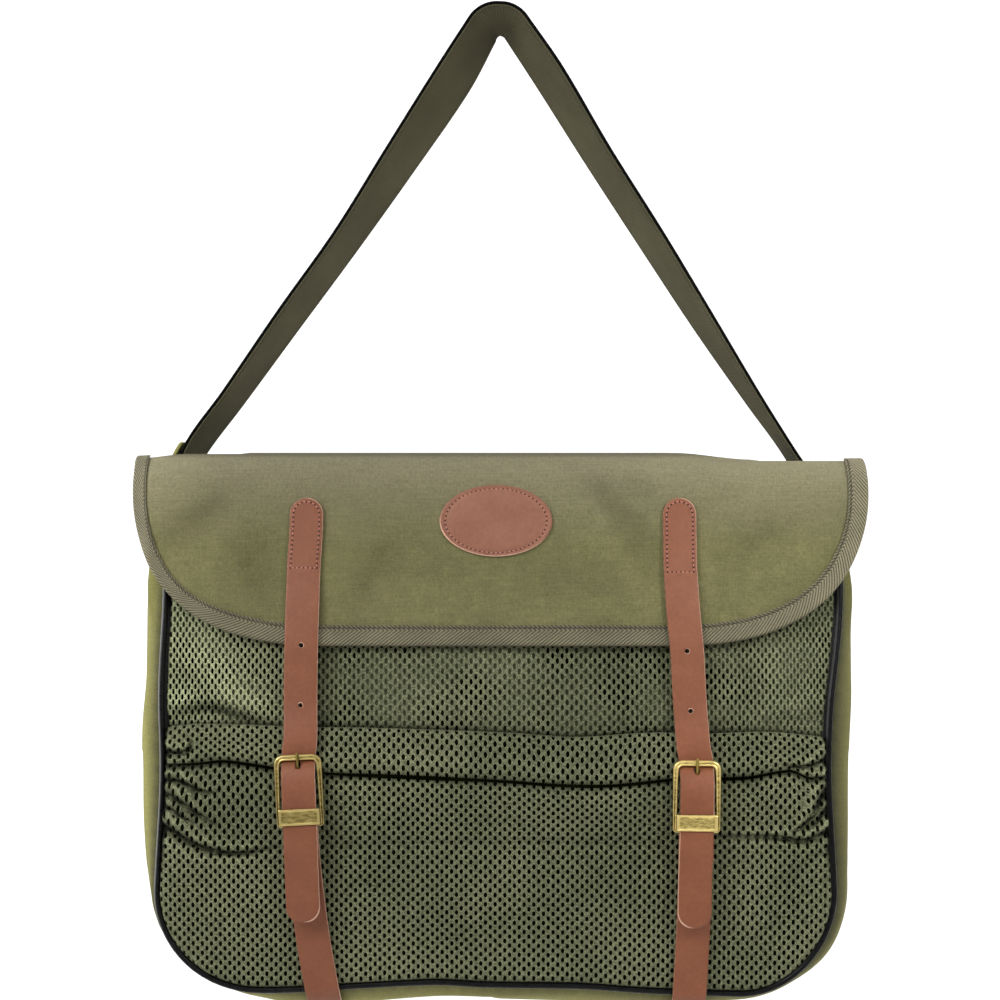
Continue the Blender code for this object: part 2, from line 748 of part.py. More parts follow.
def billet_at(side, z):
    """Middle of a billet: against the flap, over its binding, then through the buckle."""
    xs = column(BILLET_ROWS, side.name + "_x") + column(THROUGH_ROWS, side.name + "_x")
    zs = column(BILLET_ROWS, "z")
    off = CANVAS / 2 + 2 * GAP + LEATHER / 2
    ys = []
    for row in BILLET_ROWS[:-1]:
        over_tape = (TAPE + 2 * GAP) * ease(-0.345, -0.366, row.z)
        reach = flap_at(getattr(row, side.name + "_x"), flap_run_smooth(max(row.z, FLAP_BOTTOM_Z)))
        ys.append(reach.y - off - over_tape)
    ys.append(ys[-1] - 0.0008)
    ys += column(THROUGH_ROWS, "y")
    zs += [side.bar_z + row.rise for row in THROUGH_ROWS]
    return Vector((through(zs, xs, z), through(zs, ys, z), z))


def make_billet(side):
    top = BILLET_ROWS[0].z
    tip = side.bar_z + THROUGH_ROWS[-1].rise
    zs = [top - d for d in (0.0003, 0.0015, 0.004, 0.0075, 0.012)]
    zs += spaced(top - 0.022, side.bar_z + 0.054, 8)
    zs += [side.bar_z + r for r in (0.046, 0.041, 0.0365, 0.032, 0.027, 0.021, 0.011, 0.0,
                                    -0.012, -0.030)]
    zs += [tip + d for d in (0.009, 0.005, 0.002, 0.0004)]
    tip_radius = STRAP_HALF * 0.85
    widths = [min(rounded(top - z), rounded(z - tip, tip_radius)) for z in zs]
    centres = [billet_at(side, z) for z in zs]
    tilts = [lean_of(centres, i) for i in range(len(centres))]
    obj = band("billet_" + side.name, "leather", centres, tilts, widths, LEATHER)
    for rise in HOLE_RISES:
        add_hole(obj, side, side.bar_z + rise, HOLE_RADIUS, HOLE_RADIUS)
    add_hole(obj, side, side.bar_z + PRONG_HOLE_RISE, PRONG_RADIUS + 2 * GAP, PRONG_HOLE_HALF)


def add_hole(obj, side, z, half_across, half_down):
    bm = bmesh.new()
    bmesh.ops.create_cone(bm, cap_ends=True, segments=8, radius1=1, radius2=1, depth=0.012)
    for vert in bm.verts:
        x, y, depth = vert.co
        vert.co = Vector((x * half_across, depth, y * half_down)) + billet_at(side, z)
    bm.normal_update()
    bmesh.ops.recalc_face_normals(bm, faces=bm.faces)
    cut(obj, new_cutter(obj.name + "_hole", bm))


def lower_strap_centres(side):
    """Middle of a lower strap: up the front, round the buckle's lower bar and down again."""
    index = list(range(len(LOWER_ROWS)))
    ys, zs = column(LOWER_ROWS, "y"), column(LOWER_ROWS, "z")
    xs = column(LOWER_ROWS, side.name + "_x")
    points = [Vector((through(index, xs, t), through(index, ys, t), through(index, zs, t)))
              for t in spaced(0, index[-1], 14)]
    tilts = [lean_of(points, max(i, 8)) * ease(4, 9, i) for i in range(len(points))]
    fold = BUCKLE_DEPTH / 2 + 2 * GAP + LOWER_LEATHER / 2
    taller = (BUCKLE_BAR - BUCKLE_DEPTH) / 2 + 0.0003
    for turn in spaced(0, math.pi, 4):
        points.append(Vector((side.bar_x, BUCKLE_Y + fold * math.cos(turn),
                              side.bar_z + (fold + taller) * math.sin(turn))))
    for drop, back in ((0.009, 0.0003), (0.017, 0.0006)):
        points.append(Vector((side.bar_x, BUCKLE_Y - fold + back, side.bar_z - drop)))
    tilts += [math.radians(side.roll)] * (len(points) - len(tilts))
    return points, tilts


def make_lower_strap(side):
    centres, tilts = lower_strap_centres(side)
    widths = [STRAP_HALF] * len(centres)
    obj = band("lower_strap_" + side.name, "leather", centres, tilts, widths, LOWER_LEATHER)
    bm = bmesh.new()
    bmesh.ops.create_cube(bm, size=1)
    for vert in bm.verts:
        x, y, z = vert.co
        vert.co = Vector((x * SLOT_WIDTH + side.bar_x, y * 0.014 + BUCKLE_Y,
                          z * SLOT_LENGTH + side.bar_z + 0.002))
    cut(obj, new_cutter(obj.name + "_slot", bm))


def stand_up(obj, side):
    """Turn a flat ring to face the front, at the buckle's lower bar."""
    obj.rotation_mode = "XYZ"
    obj.rotation_euler = (math.radians(90), math.radians(side.roll), 0)
    obj.location = (side.bar_x, BUCKLE_Y, side.bar_z)


def make_buckle(side):
    half = BUCKLE_WIDTH / 2
    bar = BUCKLE_BAR
    low, high = -bar / 2, BUCKLE_HEIGHT - bar / 2
    outer = rounded_outline(half, low, high, BUCKLE_LOW_RADIUS, BUCKLE_TOP_RADIUS)
    inner = rounded_outline(half - bar, low + bar, high - bar, 0.0008, BUCKLE_TOP_RADIUS - bar, 2)
    ring = flat_ring("buckle_" + side.name, "brass", (outer, inner), BUCKLE_DEPTH / 2, 0.0006)
    stand_up(ring, side)


def make_prong(side):
    """A wire that starts round the lower bar and rests its tip on the upper one."""
    reach = BUCKLE_DEPTH / 2 + 2 * GAP + PRONG_RADIUS
    tall = BUCKLE_BAR / 2 + 2 * GAP + PRONG_RADIUS
    points = []
    for angle in (-60, -20, 20, 60, 90):
        turn = math.radians(angle)
        points.append((BUCKLE_Y + reach * math.cos(turn), tall * math.sin(turn)))
    top = BUCKLE_HEIGHT - BUCKLE_BAR
    rest = BUCKLE_Y - BUCKLE_DEPTH / 2 - GAP - 0.0001 - PRONG_RADIUS
    points += [(BUCKLE_Y - 0.0004, 0.008), (BUCKLE_Y - 0.0002, top - 0.015),
               (BUCKLE_Y - 0.0003, top - 0.0105), (BUCKLE_Y - 0.0012, top - 0.0072),
               (rest, top - 0.0040), (rest, top + 0.0018)]
    lean_x = math.tan(math.radians(side.roll))
    tube("prong_" + side.name, "brass",
         [(side.bar_x + rise * lean_x, y, side.bar_z + rise) for y, rise in points], PRONG_RADIUS)


def make_keeper(side):
    rise = 0.0057
    middle = billet_at(side, side.bar_z + rise)
    inner_depth = LEATHER / 2 + GAP + 0.0001
    outer_depth = inner_depth + KEEPER_WALL
    half = KEEPER_WIDTH / 2
    outer = rounded_outline(half, -outer_depth, outer_depth, 0.0008, 0.0008, 2)
    inner = rounded_outline(half - KEEPER_SIDE, -inner_depth, inner_depth, 0.0003, 0.0003, 1)
    ring = flat_ring("keeper_" + side.name, "brass", (outer, inner), KEEPER_HEIGHT / 2, 0.0002)
    ring.rotation_euler = (0, math.radians(side.roll), 0)
    ring.location = middle


# Shoulder strap

def strap_leg(side):
    """Columns of height, sideways place and twist of a leg, from its sewn end to the top."""
    layers = CANVAS / 2 + STRAP_CLEAR + WEBBING + GAP + TAPE_STRAP
    sewn = [(z, tab_line(side, z) - layers * slant, twist)
            for z, slant, twist in ((-0.338, 1.01, 0), (-0.315, 1.03, 1), (-0.292, 1.07, 5))]
    rows = [(row.z, getattr(row, side.name + "_x"), getattr(row, side.name + "_twist"))
            for row in LEG_ROWS]
    end = (APEX_RADIUS * (math.cos(APEX_ANGLE) - 1), APEX_RADIUS * math.sin(APEX_ANGLE),
           LEG_TOP_TWIST[side.name])
    return [list(values) for values in zip(*sewn, *rows, end)]


def strap_twist(side, z):
    zs, _, twists = strap_leg(side)
    return through(zs, twists, z)


def strap_centres():
    """Underside's middle and twist, from the left end over the top to the right end."""
    legs = []
    for side in SIDES:
        zs, xs, twists = strap_leg(side)
        heights = spaced(zs[0], -0.262, 6) + spaced(-0.262, zs[-1], 12)[1:-1]
        legs.append([(side.sign * through(zs, xs, z), z, through(zs, twists, z)) for z in heights])
    top = []
    for angle in spaced(-APEX_ANGLE, APEX_ANGLE, 10):
        leg_twist = LEG_TOP_TWIST["left" if angle < 0 else "right"]
        twist = mix(APEX_TWIST, leg_twist, abs(angle) / APEX_ANGLE)
        top.append((APEX_RADIUS * math.sin(angle), APEX_RADIUS * (math.cos(angle) - 1), twist))
    return legs[0] + top + legs[1][::-1]


def strap_place(centres, i, u, half, out):
    x, z, twist = centres[i]
    x0, z0, _ = centres[max(i - 1, 0)]
    x1, z1, _ = centres[min(i + 1, len(centres) - 1)]
    along = Vector((x1 - x0, 0, z1 - z0)).normalized()
    outward = Vector((-along.z, 0, along.x))
    turn = math.radians(twist)
    back = Vector((0, 1, 0))
    width = outward * math.sin(turn) - back * math.cos(turn)
    face = outward * math.cos(turn) + back * math.sin(turn)
    fade = ease(-0.01, -0.10, z)
    middle = Vector((x, STRAP_MID_Y * fade, z))
    return middle + width * u * half + face * out


def make_shoulder_strap():
    centres = strap_centres()
    layers = (("shoulder_strap", "strap_tape", TAPE_STRAP_HALF, TAPE_STRAP, 0.0),
              ("strap_webbing", "webbing", WEBBING_HALF, WEBBING, TAPE_STRAP + GAP))
    for name, finish, half, thickness, start in layers:
        def place(u, v, half=half, out=start + thickness / 2):
            return strap_place(centres, v, u, half, out)

        sheet(name, finish, (-1, 1), list(range(len(centres))), place, thickness)


def main():
    make_back()
    make_front()
    make_pocket()
    make_gusset()
    make_piping("piping_front", lambda z: front_y(z) - PIPING_PROUD)
    make_piping("piping_back", lambda z: BACK_Y + PIPING_PROUD)
    make_flap()
    make_binding()
    make_patch()
    for side in SIDES:
        make_billet(side)
        make_lower_strap(side)
        make_buckle(side)
        make_prong(side)
        make_keeper(side)
    make_shoulder_strap()


main()
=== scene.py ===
"""Canvas and net game bag on its shoulder strap: the cloth, net, leather and brass as they look.

Metres, +Z up. The bag's front faces -Y, and the origin is the strap's hanging point.
"""
import math
from collections import namedtuple
from contextlib import contextmanager
from functools import cache

import bmesh
import bpy
import numpy as np
from bpy.props import FloatProperty, FloatVectorProperty, PointerProperty
from mathutils import Matrix, Vector


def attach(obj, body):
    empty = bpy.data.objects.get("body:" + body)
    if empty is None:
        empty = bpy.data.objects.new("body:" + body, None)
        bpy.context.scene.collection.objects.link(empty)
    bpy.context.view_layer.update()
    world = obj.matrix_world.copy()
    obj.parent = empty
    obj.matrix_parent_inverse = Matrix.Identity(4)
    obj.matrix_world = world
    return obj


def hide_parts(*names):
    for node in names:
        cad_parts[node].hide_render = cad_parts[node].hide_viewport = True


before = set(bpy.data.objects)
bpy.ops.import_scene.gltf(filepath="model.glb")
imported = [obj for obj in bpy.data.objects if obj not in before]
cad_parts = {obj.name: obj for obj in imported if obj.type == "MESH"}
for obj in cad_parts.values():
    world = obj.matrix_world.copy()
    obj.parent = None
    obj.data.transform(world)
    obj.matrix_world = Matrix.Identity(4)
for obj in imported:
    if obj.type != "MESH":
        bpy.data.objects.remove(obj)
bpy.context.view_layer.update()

bl_info = {
    "name": "Game Bag",
    "version": (1, 0, 0),
    "blender": (4, 5, 0),
    "location": "3D View > Sidebar > Game Bag",
    "description": "Dresses a canvas and net game bag and sets it in a plain studio",
    "category": "Add Mesh",
}

BODY = "root"
GAP = 0.0004


def table(fields, *rows):
    """Rows of a chart with their fields named."""
    row = namedtuple("Row", fields)
    return tuple(row(*values) for values in rows)


# Bag body
MOUTH_Z = -0.29
BOTTOM_Z = -0.5892
HALF_WIDTH = 0.2035
CORNER_RADIUS = 0.058
CORNER_Z = BOTTOM_Z + CORNER_RADIUS
WAIST = 0.0043
WAIST_Z = -0.456
WAIST_SPREAD = 0.06
LEAN_TOP = 0.0018
LEAN_LOW = -0.0026
FRONT_MOUTH_Y = -0.036
FRONT_LOW_Y = -0.053
BACK_Y = 0.045
FRONT_BELLY = 0.005
CANVAS = 0.002
NET = 0.0024
# How far the bottom seam hangs below a straight line
SAG_ROWS = table("x drop",
    (-0.21, 0.0), (-0.165, 0.0002), (-0.14, 0.0012), (-0.115, 0.0004), (-0.08, -0.0018),
    (-0.038, -0.0036), (-0.01, -0.0022), (0.05, -0.0012), (0.085, 0.0012), (0.125, 0.0028),
    (0.16, 0.0034), (0.185, 0.002), (0.21, 0.0))
SAG_TOP_Z = -0.505
PIPING_RADIUS = 0.0019
PIPING_PROUD = 0.0008
SEAM_INSET = PIPING_RADIUS + GAP

# Gusset: its room between the seams and the width of its cloth
GUSSET_DEPTH = 0.096
GUSSET_CLOTH = 0.115
SIDE_BULGE = 0.017
BULGE_ROWS = table("run left right",
    (0.0, 0.0145, 0.0152), (0.115, 0.0156, 0.0142), (0.145, 0.0092, 0.0092), (0.175, 0.005, 0.0096),
    (0.2, 0.0056, 0.0138), (0.22, 0.0072, 0.0134), (0.236, 0.009, 0.0128), (0.252, 0.0116, 0.014),
    (0.285, 0.0152, 0.0158), (0.33, SIDE_BULGE, SIDE_BULGE))
TAB_START_Z = -0.345
TAB_SPREAD_Z = -0.385
STRAP_CLEAR = 0.0013
STRAP_MID_Y = 0.003

# Net pocket: its top edge, its tuck and its lower seam by place across the bag
HEM_Z = -0.436
TUCK_DROP = 0.0235
SEAM_DROP = 0.065
HEM_ROWS = table("x z",
    (-0.2, -0.4335), (-0.18, -0.4315), (-0.128, -0.4326), (-0.06, -0.434), (0.007, -0.4365),
    (0.045, -0.4389), (0.09, -0.4364), (0.126, -0.4368), (0.16, -0.4362), (0.196, -0.4395))
TUCK_ROWS = table("x z",
    (-0.2, -0.4537), (-0.18, -0.4525), (-0.165, -0.4509), (-0.148, -0.4528), (-0.119, -0.4573),
    (-0.06, -0.4596), (0.002, -0.4625), (0.034, -0.4648), (0.064, -0.4653), (0.105, -0.4618),
    (0.147, -0.4607), (0.172, -0.457), (0.186, -0.4614), (0.196, -0.459))
# The net's path down the pocket, from behind its top edge
POCKET_ROWS = table("drop proud",
    (0.007, -0.0022), (0.0022, -0.002), (0.0002, -0.001), (0.0006, 0.0006), (0.0045, 0.0024),
    (0.011, 0.0034), (0.017, 0.004), (0.021, 0.004), (0.0232, 0.0026), (0.0236, 0.0008),
    (0.023, -0.0012), (0.0241, -0.0022), (0.0256, -0.0006), (0.028, 0.0022), (0.032, 0.004),
    (0.039, 0.005), (0.049, 0.0046), (0.059, 0.0036), (0.065, 0.0028), (0.072, 0.0029),
    (0.086, 0.003), (0.105, 0.0026), (0.122, 0.0018), (0.135, 0.001), (0.144, 0.0004),
    (0.1532, 0.0))
POCKET_GAP = 0.0014
STRAP_PRESS = 0.65
STRAP_PRESS_X = 0.114
STRAP_PRESS_HALF = 0.018

# Folds: depth, half width and the points that each runs through. A crease has a roll above it
# and is deepest where it starts; a valley is soft on both sides.
POCKET_CREASES = table("depth width path",
    (0.003, 0.0016, ((-0.201, -0.4462), (-0.1929, -0.4484), (-0.1856, -0.4466), (-0.1834, -0.4424),
     (-0.184, -0.437))),
    (0.0044, 0.002, ((-0.201, -0.4642), (-0.19, -0.4656), (-0.182, -0.4688), (-0.174, -0.4712),
     (-0.164, -0.47))),
    (0.0052, 0.0022, ((-0.201, -0.4722), (-0.1935, -0.4752), (-0.1855, -0.4804), (-0.179, -0.4845),
     (-0.174, -0.4878), (-0.162, -0.495))),
    (0.0044, 0.0018, ((-0.201, -0.4796), (-0.1948, -0.4826), (-0.1878, -0.4866),
     (-0.176, -0.4915))),
    (0.0052, 0.0022, ((-0.201, -0.4912), (-0.1932, -0.4958), (-0.1871, -0.4998), (-0.1803, -0.5032),
     (-0.1727, -0.5055), (-0.1628, -0.5074), (-0.1553, -0.5074), (-0.1439, -0.5062),
     (-0.1325, -0.5039), (-0.11, -0.5022))),
    (0.0044, 0.0016, ((0.1985, -0.492), (0.1895, -0.4972), (0.1786, -0.5), (0.1649, -0.4976),
     (0.145, -0.4972), (0.1267, -0.4975), (0.1068, -0.5))),
    (0.0048, 0.002, ((0.1985, -0.464), (0.191, -0.4752), (0.1865, -0.4845), (0.178, -0.493),
     (0.17, -0.4965))),
    (0.0036, 0.0016, ((0.1985, -0.4752), (0.1925, -0.4838), (0.188, -0.49), (0.18, -0.4958))),
    (0.003, 0.0016, ((0.1985, -0.4472), (0.189, -0.4545), (0.176, -0.456), (0.166, -0.4535))))
POCKET_FOLDS = table("depth width path",
    (0.0012, 0.0018, ((-0.115, -0.5022), (-0.06, -0.5008), (0.0, -0.5006), (0.06, -0.5004),
     (0.1068, -0.5))),
    (0.0018, 0.003, ((0.198, -0.504), (0.185, -0.512), (0.17, -0.525))),
    (0.0018, 0.005, ((-0.095, -0.533), (-0.075, -0.525), (-0.05, -0.537))),
    (0.001, 0.006, ((-0.17, -0.525), (-0.15, -0.54), (-0.14, -0.555))),
    (0.0014, 0.006, ((0.195, -0.518), (0.17, -0.542), (0.15, -0.565))))
NET_FOLDS = table("depth width path",
    (0.0034, 0.0038, ((-0.198, -0.429), (-0.185, -0.4235), (-0.17, -0.4225), (-0.15, -0.429),
     (-0.14, -0.433))),
    (0.0012, 0.006, ((-0.196, -0.402), (-0.18, -0.408), (-0.165, -0.418))),
    (0.0008, 0.006, ((-0.07, -0.385), (-0.074, -0.405), (-0.07, -0.426))),
    (0.0012, 0.006, ((0.018, -0.392), (0.029, -0.406), (0.018, -0.428))),
    (0.001, 0.005, ((0.145, -0.39), (0.15, -0.408), (0.14, -0.429))),
    (0.0012, 0.004, ((0.198, -0.425), (0.18, -0.429), (0.16, -0.43))))
FLAP_FOLDS = table("depth width path",
    (0.0042, 0.009, ((0.048, -0.28), (0.064, -0.295), (0.08, -0.315), (0.096, -0.342))),
    (0.0026, 0.0075, ((0.072, -0.28), (0.086, -0.29), (0.094, -0.3))),
    (0.004, 0.011, ((-0.16, -0.295), (-0.18, -0.311), (-0.2, -0.329))),
    (0.0028, 0.011, ((-0.056, -0.318), (-0.076, -0.344), (-0.086, -0.369))),
    (0.002, 0.009, ((0.13, -0.345), (0.15, -0.325), (0.185, -0.31))),
    (0.002, 0.014, ((0.02, -0.35), (0.05, -0.342), (0.085, -0.356))),
    (0.0026, 0.011, ((-0.135, -0.355), (-0.15, -0.335), (-0.145, -0.315))))

# Holes of the net
UPPER_MESH, POCKET_MESH = table("stretch_x stretch_z gather hole_x hole_z",
                                (1.0, 1.06, 0.105, 0.00114, 0.002),
                                (1.0, 1.0, 0.025, 0.00122, 0.0018))
NET_FRONT = 0.0012
NET_BACK = -0.0005
PIT_FLOOR = 0.0001
PIT_SHARE = 0.85         # width of a pit's floor beside its rim
NET_SHOWN_TOP = -0.338
NET_SHOWN_LOW = -0.4445

# Flap
FLAP_EDGE_HALF = 0.2204
FLAP_STRAIGHT_HALF = 0.1
FLAP_CORNER_TOP_Z = -0.282
FLAP_BOTTOM_Z = -0.3826
FLAP_CORNER_POWER = 2.5
FLAP_BELLY_SHARE = 0.6
WING_TOP_Y = -0.0225
TAPE = 0.0009
TAPE_WIDTH = 0.0106
FLAP_ROWS = table("y z",
    (0.0475, -0.301), (0.0479, -0.289), (0.0438, -0.2768), (0.028, -0.2714), (0.002, -0.2696),
    (-0.024, -0.2697), (-0.039, -0.2785), (-0.0452, -0.294), (-0.0485, -0.32), (-0.0525, -0.35),
    (-0.057, -0.384), (-0.0574, -0.39))
NECK_HALF = 0.1548
TURNED_BACK = 0.0055     # how far the flap's left edge is turned back
TURNED_WIDTH = 0.66      # share of the tape's width that shows there

# Leather and brass
LEATHER = 0.0022
LOWER_LEATHER = 0.002
STRAP_HALF = 0.01
HOLE_RADIUS = 0.0015
LEATHER_STITCH = 0.66    # share of its pitch that a stitch shows
PATCH_HALF_WIDTH = 0.0339
PATCH_HALF_HEIGHT = 0.0216
PATCH_X = -0.0024
PATCH_Z = -0.3098
PATCH_THICKNESS = 0.0016
BUCKLE_WIDTH = 0.0285
BUCKLE_HEIGHT = 0.0436
BUCKLE_BAR = 0.0035
LOW_BAR = 0.62
BUCKLE_DEPTH = 0.0026
BUCKLE_Y = -0.0696
BUCKLE_TOP_RADIUS = 0.006
BUCKLE_LOW_RADIUS = 0.0025
KEEPER_WIDTH = 0.0242
KEEPER_HEIGHT = 0.0095
KEEPER_WALL = 0.0008
KEEPER_RISE = 0.0057
PRONG_RADIUS = 0.0009
HOLE_RISES = (0.0705, 0.106)
PRONG_HOLE_RISE = 0.0356
PRONG_HOLE_HALF = 0.0021

SIDES = table("name sign bar_x bar_z roll mid_x mid_curl tab_z cross_z",
    ("left", -1, -0.118, -0.4895, -2.8, 0.216, 9.4, -0.2615, -0.3376),
    ("right", 1, 0.1163, -0.493, 0.7, 0.215, 13.2, -0.2765, -0.34))
BILLET_ROWS = table("z left_x right_x",
    (-0.2958, -0.1161, 0.1077), (-0.315, -0.1163, 0.1078), (-0.3366, -0.1175, 0.108),
    (-0.3652, -0.1181, 0.1095), (-0.386, -0.1185, 0.1114), (-0.4149, -0.1188, 0.1129))
THROUGH_ROWS = table("rise y left_x right_x",
    (0.05, -0.0664, -0.1185, 0.1148), (0.042, -0.0666, -0.1195, 0.1162),
    (0.0386, -0.0667, -0.1196, 0.1166), (0.0368, -0.0679, -0.1196, 0.1166),
    (0.035, -0.0704, -0.1195, 0.1166), (0.033, -0.0723, -0.1194, 0.1166),
    (0.029, -0.0741, -0.1193, 0.1166), (0.024, -0.0751, -0.119, 0.1165),
    (0.018, -0.0757, -0.1187, 0.1164), (0.0057, -0.0764, -0.1182, 0.1162),
    (-0.008, -0.0762, -0.1176, 0.1158), (-0.03, -0.0742, -0.117, 0.1152),
    (-0.057, -0.0728, -0.116, 0.115))
LOWER_ROWS = table("y z left_x right_x",
    (-0.008, -0.6075, -0.103, 0.1115), (-0.03, -0.6054, -0.1035, 0.1117),
    (-0.049, -0.6004, -0.1044, 0.112), (-0.059, -0.5915, -0.1056, 0.1128),
    (-0.0608, -0.578, -0.108, 0.1136), (-0.0632, -0.555, -0.1116, 0.1147),
    (-0.0654, -0.525, -0.1152, 0.1157), (-0.0662, -0.505, -0.1172, 0.1161))

# Shoulder strap
TAPE_STRAP_HALF = 0.019
WEBBING_HALF = 0.02
TAPE_STRAP = 0.001
WEBBING = 0.0013
APEX_RADIUS = 0.011
APEX_ANGLE = math.radians(58)
APEX_TWIST = 19.0
LEG_TOP_TWIST = {"left": 26.0, "right": 21.0}
LEG_ROWS = table("z left_x right_x left_twist right_twist",
    (-0.2659, 0.1874, 0.1772, 13, 3), (-0.2349, 0.1649, 0.1562, 14.5, 7),
    (-0.1852, 0.1299, 0.1238, 18, 14), (-0.1356, 0.0939, 0.0925, 20, 18),
    (-0.0859, 0.0605, 0.0609, 27, 19.5), (-0.0362, 0.0276, 0.0304, 32, 23))


# Sizes and colours that a user would change

def length(name, default, description):
    return FloatProperty(name=name, description=description, default=default, min=0.0001, precision=4,
                         unit="LENGTH")


def colour(name, default, description):
    return FloatVectorProperty(name=name, description=description, default=default, size=3, min=0,
                               max=1, subtype="COLOR")


class BagSizes(bpy.types.PropertyGroup):
    net_across: length("Net pitch across", 0.00575, "Distance between net holes in a row")
    net_down: length("Net pitch down", 0.0058, "Distance between net holes in a column")
    weave: length("Canvas weave", 0.0009, "Two threads of the canvas weave")
    twill: length("Tape rib", 0.0026, "Distance between the ribs of the binding tape")
    stitch: length("Leather stitch", 0.00275, "Length of a stitch in the leather")
    seam_stitch: length("Cloth stitch", 0.003, "Length of a stitch in the cloth")
    thread: length("Thread", 0.00055, "Thickness of the sewing thread")
    leather_thread: length("Leather thread", 0.00075, "Thickness of the thread in the leather")


class BagColours(bpy.types.PropertyGroup):
    canvas: colour("Canvas", (0.172, 0.157, 0.068), "Olive drab of the canvas")
    canvas_shade: colour("Canvas shade", (0.104, 0.104, 0.042), "Greener places of the canvas")
    gusset: colour("Gusset", (0.168, 0.159, 0.049), "Olive drab of the gusset")
    # Painted light: a paler canvas colour for the top of the flap, where light from above falls on it.
    lit_flap_top: colour("Faded canvas", (0.176, 0.16, 0.096), "Canvas along the top of the flap")
    net: colour("Net", (0.2, 0.208, 0.118), "Threads of the net")
    net_shade: colour("Net shade", (0.094, 0.106, 0.058), "Darker threads of the net")
    # Painted shade: a near black for the shade inside the net's holes and in the pocket's tuck.
    hole: colour("Net holes", (0.0015, 0.002, 0.0003), "Inside of the net's holes")
    tape: colour("Binding tape", (0.2, 0.18, 0.114), "Ribs of the binding tape")
    tape_shade: colour("Tape shade", (0.05, 0.045, 0.028), "Between the ribs of the tape")
    piping: colour("Piping", (0.002, 0.002, 0.002), "Cover of the piping")
    leather: colour("Leather", (0.23, 0.082, 0.042), "Face of the leather")
    leather_shade: colour("Leather shade", (0.195, 0.066, 0.032), "Darker leather")
    leather_edge: colour("Leather edge", (0.56, 0.33, 0.23), "Raw edge of the leather")
    brass: colour("Brass", (0.75, 0.59, 0.225), "Worn bright brass")
    brass_shade: colour("Brass patina", (0.24, 0.182, 0.05), "Dark brass in the hollows")
    strap: colour("Strap tape", (0.094, 0.086, 0.05), "Tape inside the shoulder strap")
    webbing: colour("Webbing", (0.003, 0.003, 0.003), "Outer webbing of the strap")
    leather_thread: colour("Leather thread", (0.41, 0.172, 0.125), "Thread in the leather")
    cloth_thread: colour("Cloth thread", (0.06, 0.054, 0.032), "Thread in the cloth")
    studio: colour("Studio", (0.9, 0.9, 0.9), "Floor and backdrop")


def sizes():
    return bpy.context.scene.bag_sizes


def colours():
    return bpy.context.scene.bag_colours


# Curves and surfaces

def mix(a, b, t):
    return a + (b - a) * t


def ease(start, end, value):
    """0 at start, 1 at end and smooth between; start may be the larger."""
    t = np.clip((np.asarray(value, float) - start) / (end - start), 0, 1)
    return t * t * (3 - 2 * t)


def hump(value, middle, width):
    """1 at the middle, falling off on both sides."""
    return np.exp(-((value - middle) / width) ** 2)


def chain(*parts):
    return np.concatenate(parts)


def stack(*parts):
    """Points from the arrays of their coordinates."""
    return np.stack(np.broadcast_arrays(*parts), axis=-1).astype(float)


def unit(vectors):
    return vectors / np.maximum(np.linalg.norm(vectors, axis=-1, keepdims=True), 1e-12)


def through(xs, ys, at):
    """Smooth curve through the points of two columns, xs rising or falling."""
    xs, ys = np.asarray(xs, float), np.asarray(ys, float)
    if xs[0] > xs[-1]:
        xs, ys = xs[::-1], ys[::-1]
    at = np.clip(at, xs[0], xs[-1])
    i = np.clip(np.searchsorted(xs, at, side="right") - 1, 0, len(xs) - 2)
    index = np.arange(len(xs))
    low, high = np.maximum(index - 1, 0), np.minimum(index + 1, len(xs) - 1)
    slopes = (ys[high] - ys[low]) / (xs[high] - xs[low])
    step = xs[i + 1] - xs[i]
    t = (at - xs[i]) / step
    start, end = slopes[i] * step, slopes[i + 1] * step
    return ((2 * t**3 - 3 * t**2 + 1) * ys[i] + (t**3 - 2 * t**2 + t) * start + (3 * t**2 - 2 * t**3)
            * ys[i + 1] + (t**3 - t**2) * end)


def column(rows, name):
    return np.array([getattr(row, name) for row in rows], float)


def chart(rows, at, x="x", y="z"):
    """Smooth curve through two columns of a table."""
    return through(column(rows, x), column(rows, y), at)


def fine_path(points, steps=12):
    """Smooth line through a few points, as an array."""
    points = np.asarray(points, float)
    index = np.arange(len(points))
    at = np.linspace(0, index[-1], index[-1] * steps + 1)
    return stack(*[through(index, values, at) for values in points.T])


def runs_of(points):
    """Distance along a line of points at each of them."""
    return chain([0], np.cumsum(np.linalg.norm(np.diff(points, axis=0), axis=1)))


def along_line(at, runs, points):
    """Points of a line at some distances along it."""
    return stack(*[np.interp(at, runs, values) for values in points.T])


def skin(place, a, b, out, step_a=0.0003, step_b=0.0003):
    """Points of a sheet's surface, out metres in front of its middle; b runs down the sheet."""
    across = place(a + step_a, b) - place(a - step_a, b)
    down = place(a, b + step_b) - place(a, b - step_b)
    return place(a, b) + unit(np.cross(down, across)) * np.asarray(out)[..., None]


def beside_fold(fold, x, z):
    """Which places lie near a fold, how far above it, and how much of the fold is left there."""
    path = fine_path(fold.path)
    at = stack(x, z).reshape(-1, 2)
    reach = 8 * fold.width
    near = (at > path.min(0) - reach).all(1) & (at < path.max(0) + reach).all(1)
    spots = at[near]
    start, step = path[:-1], np.diff(path, axis=0)
    share = ((spots[:, None] - start) * step).sum(2) / (step**2).sum(1)
    share = np.clip(share, 0, 1)
    away = spots[:, None] - start - step * share[..., None]
    gaps = np.linalg.norm(away, axis=2)
    nearest = gaps.argmin(1)
    rows = np.arange(len(spots))
    turn = step[nearest, 0] * away[rows, nearest, 1] - step[nearest, 1] * away[rows, nearest, 0]
    above = gaps[rows, nearest] * np.sign(turn) * np.sign(path[-1, 0] - path[0, 0])
    return near, above, (nearest + share[rows, nearest]) / len(start)


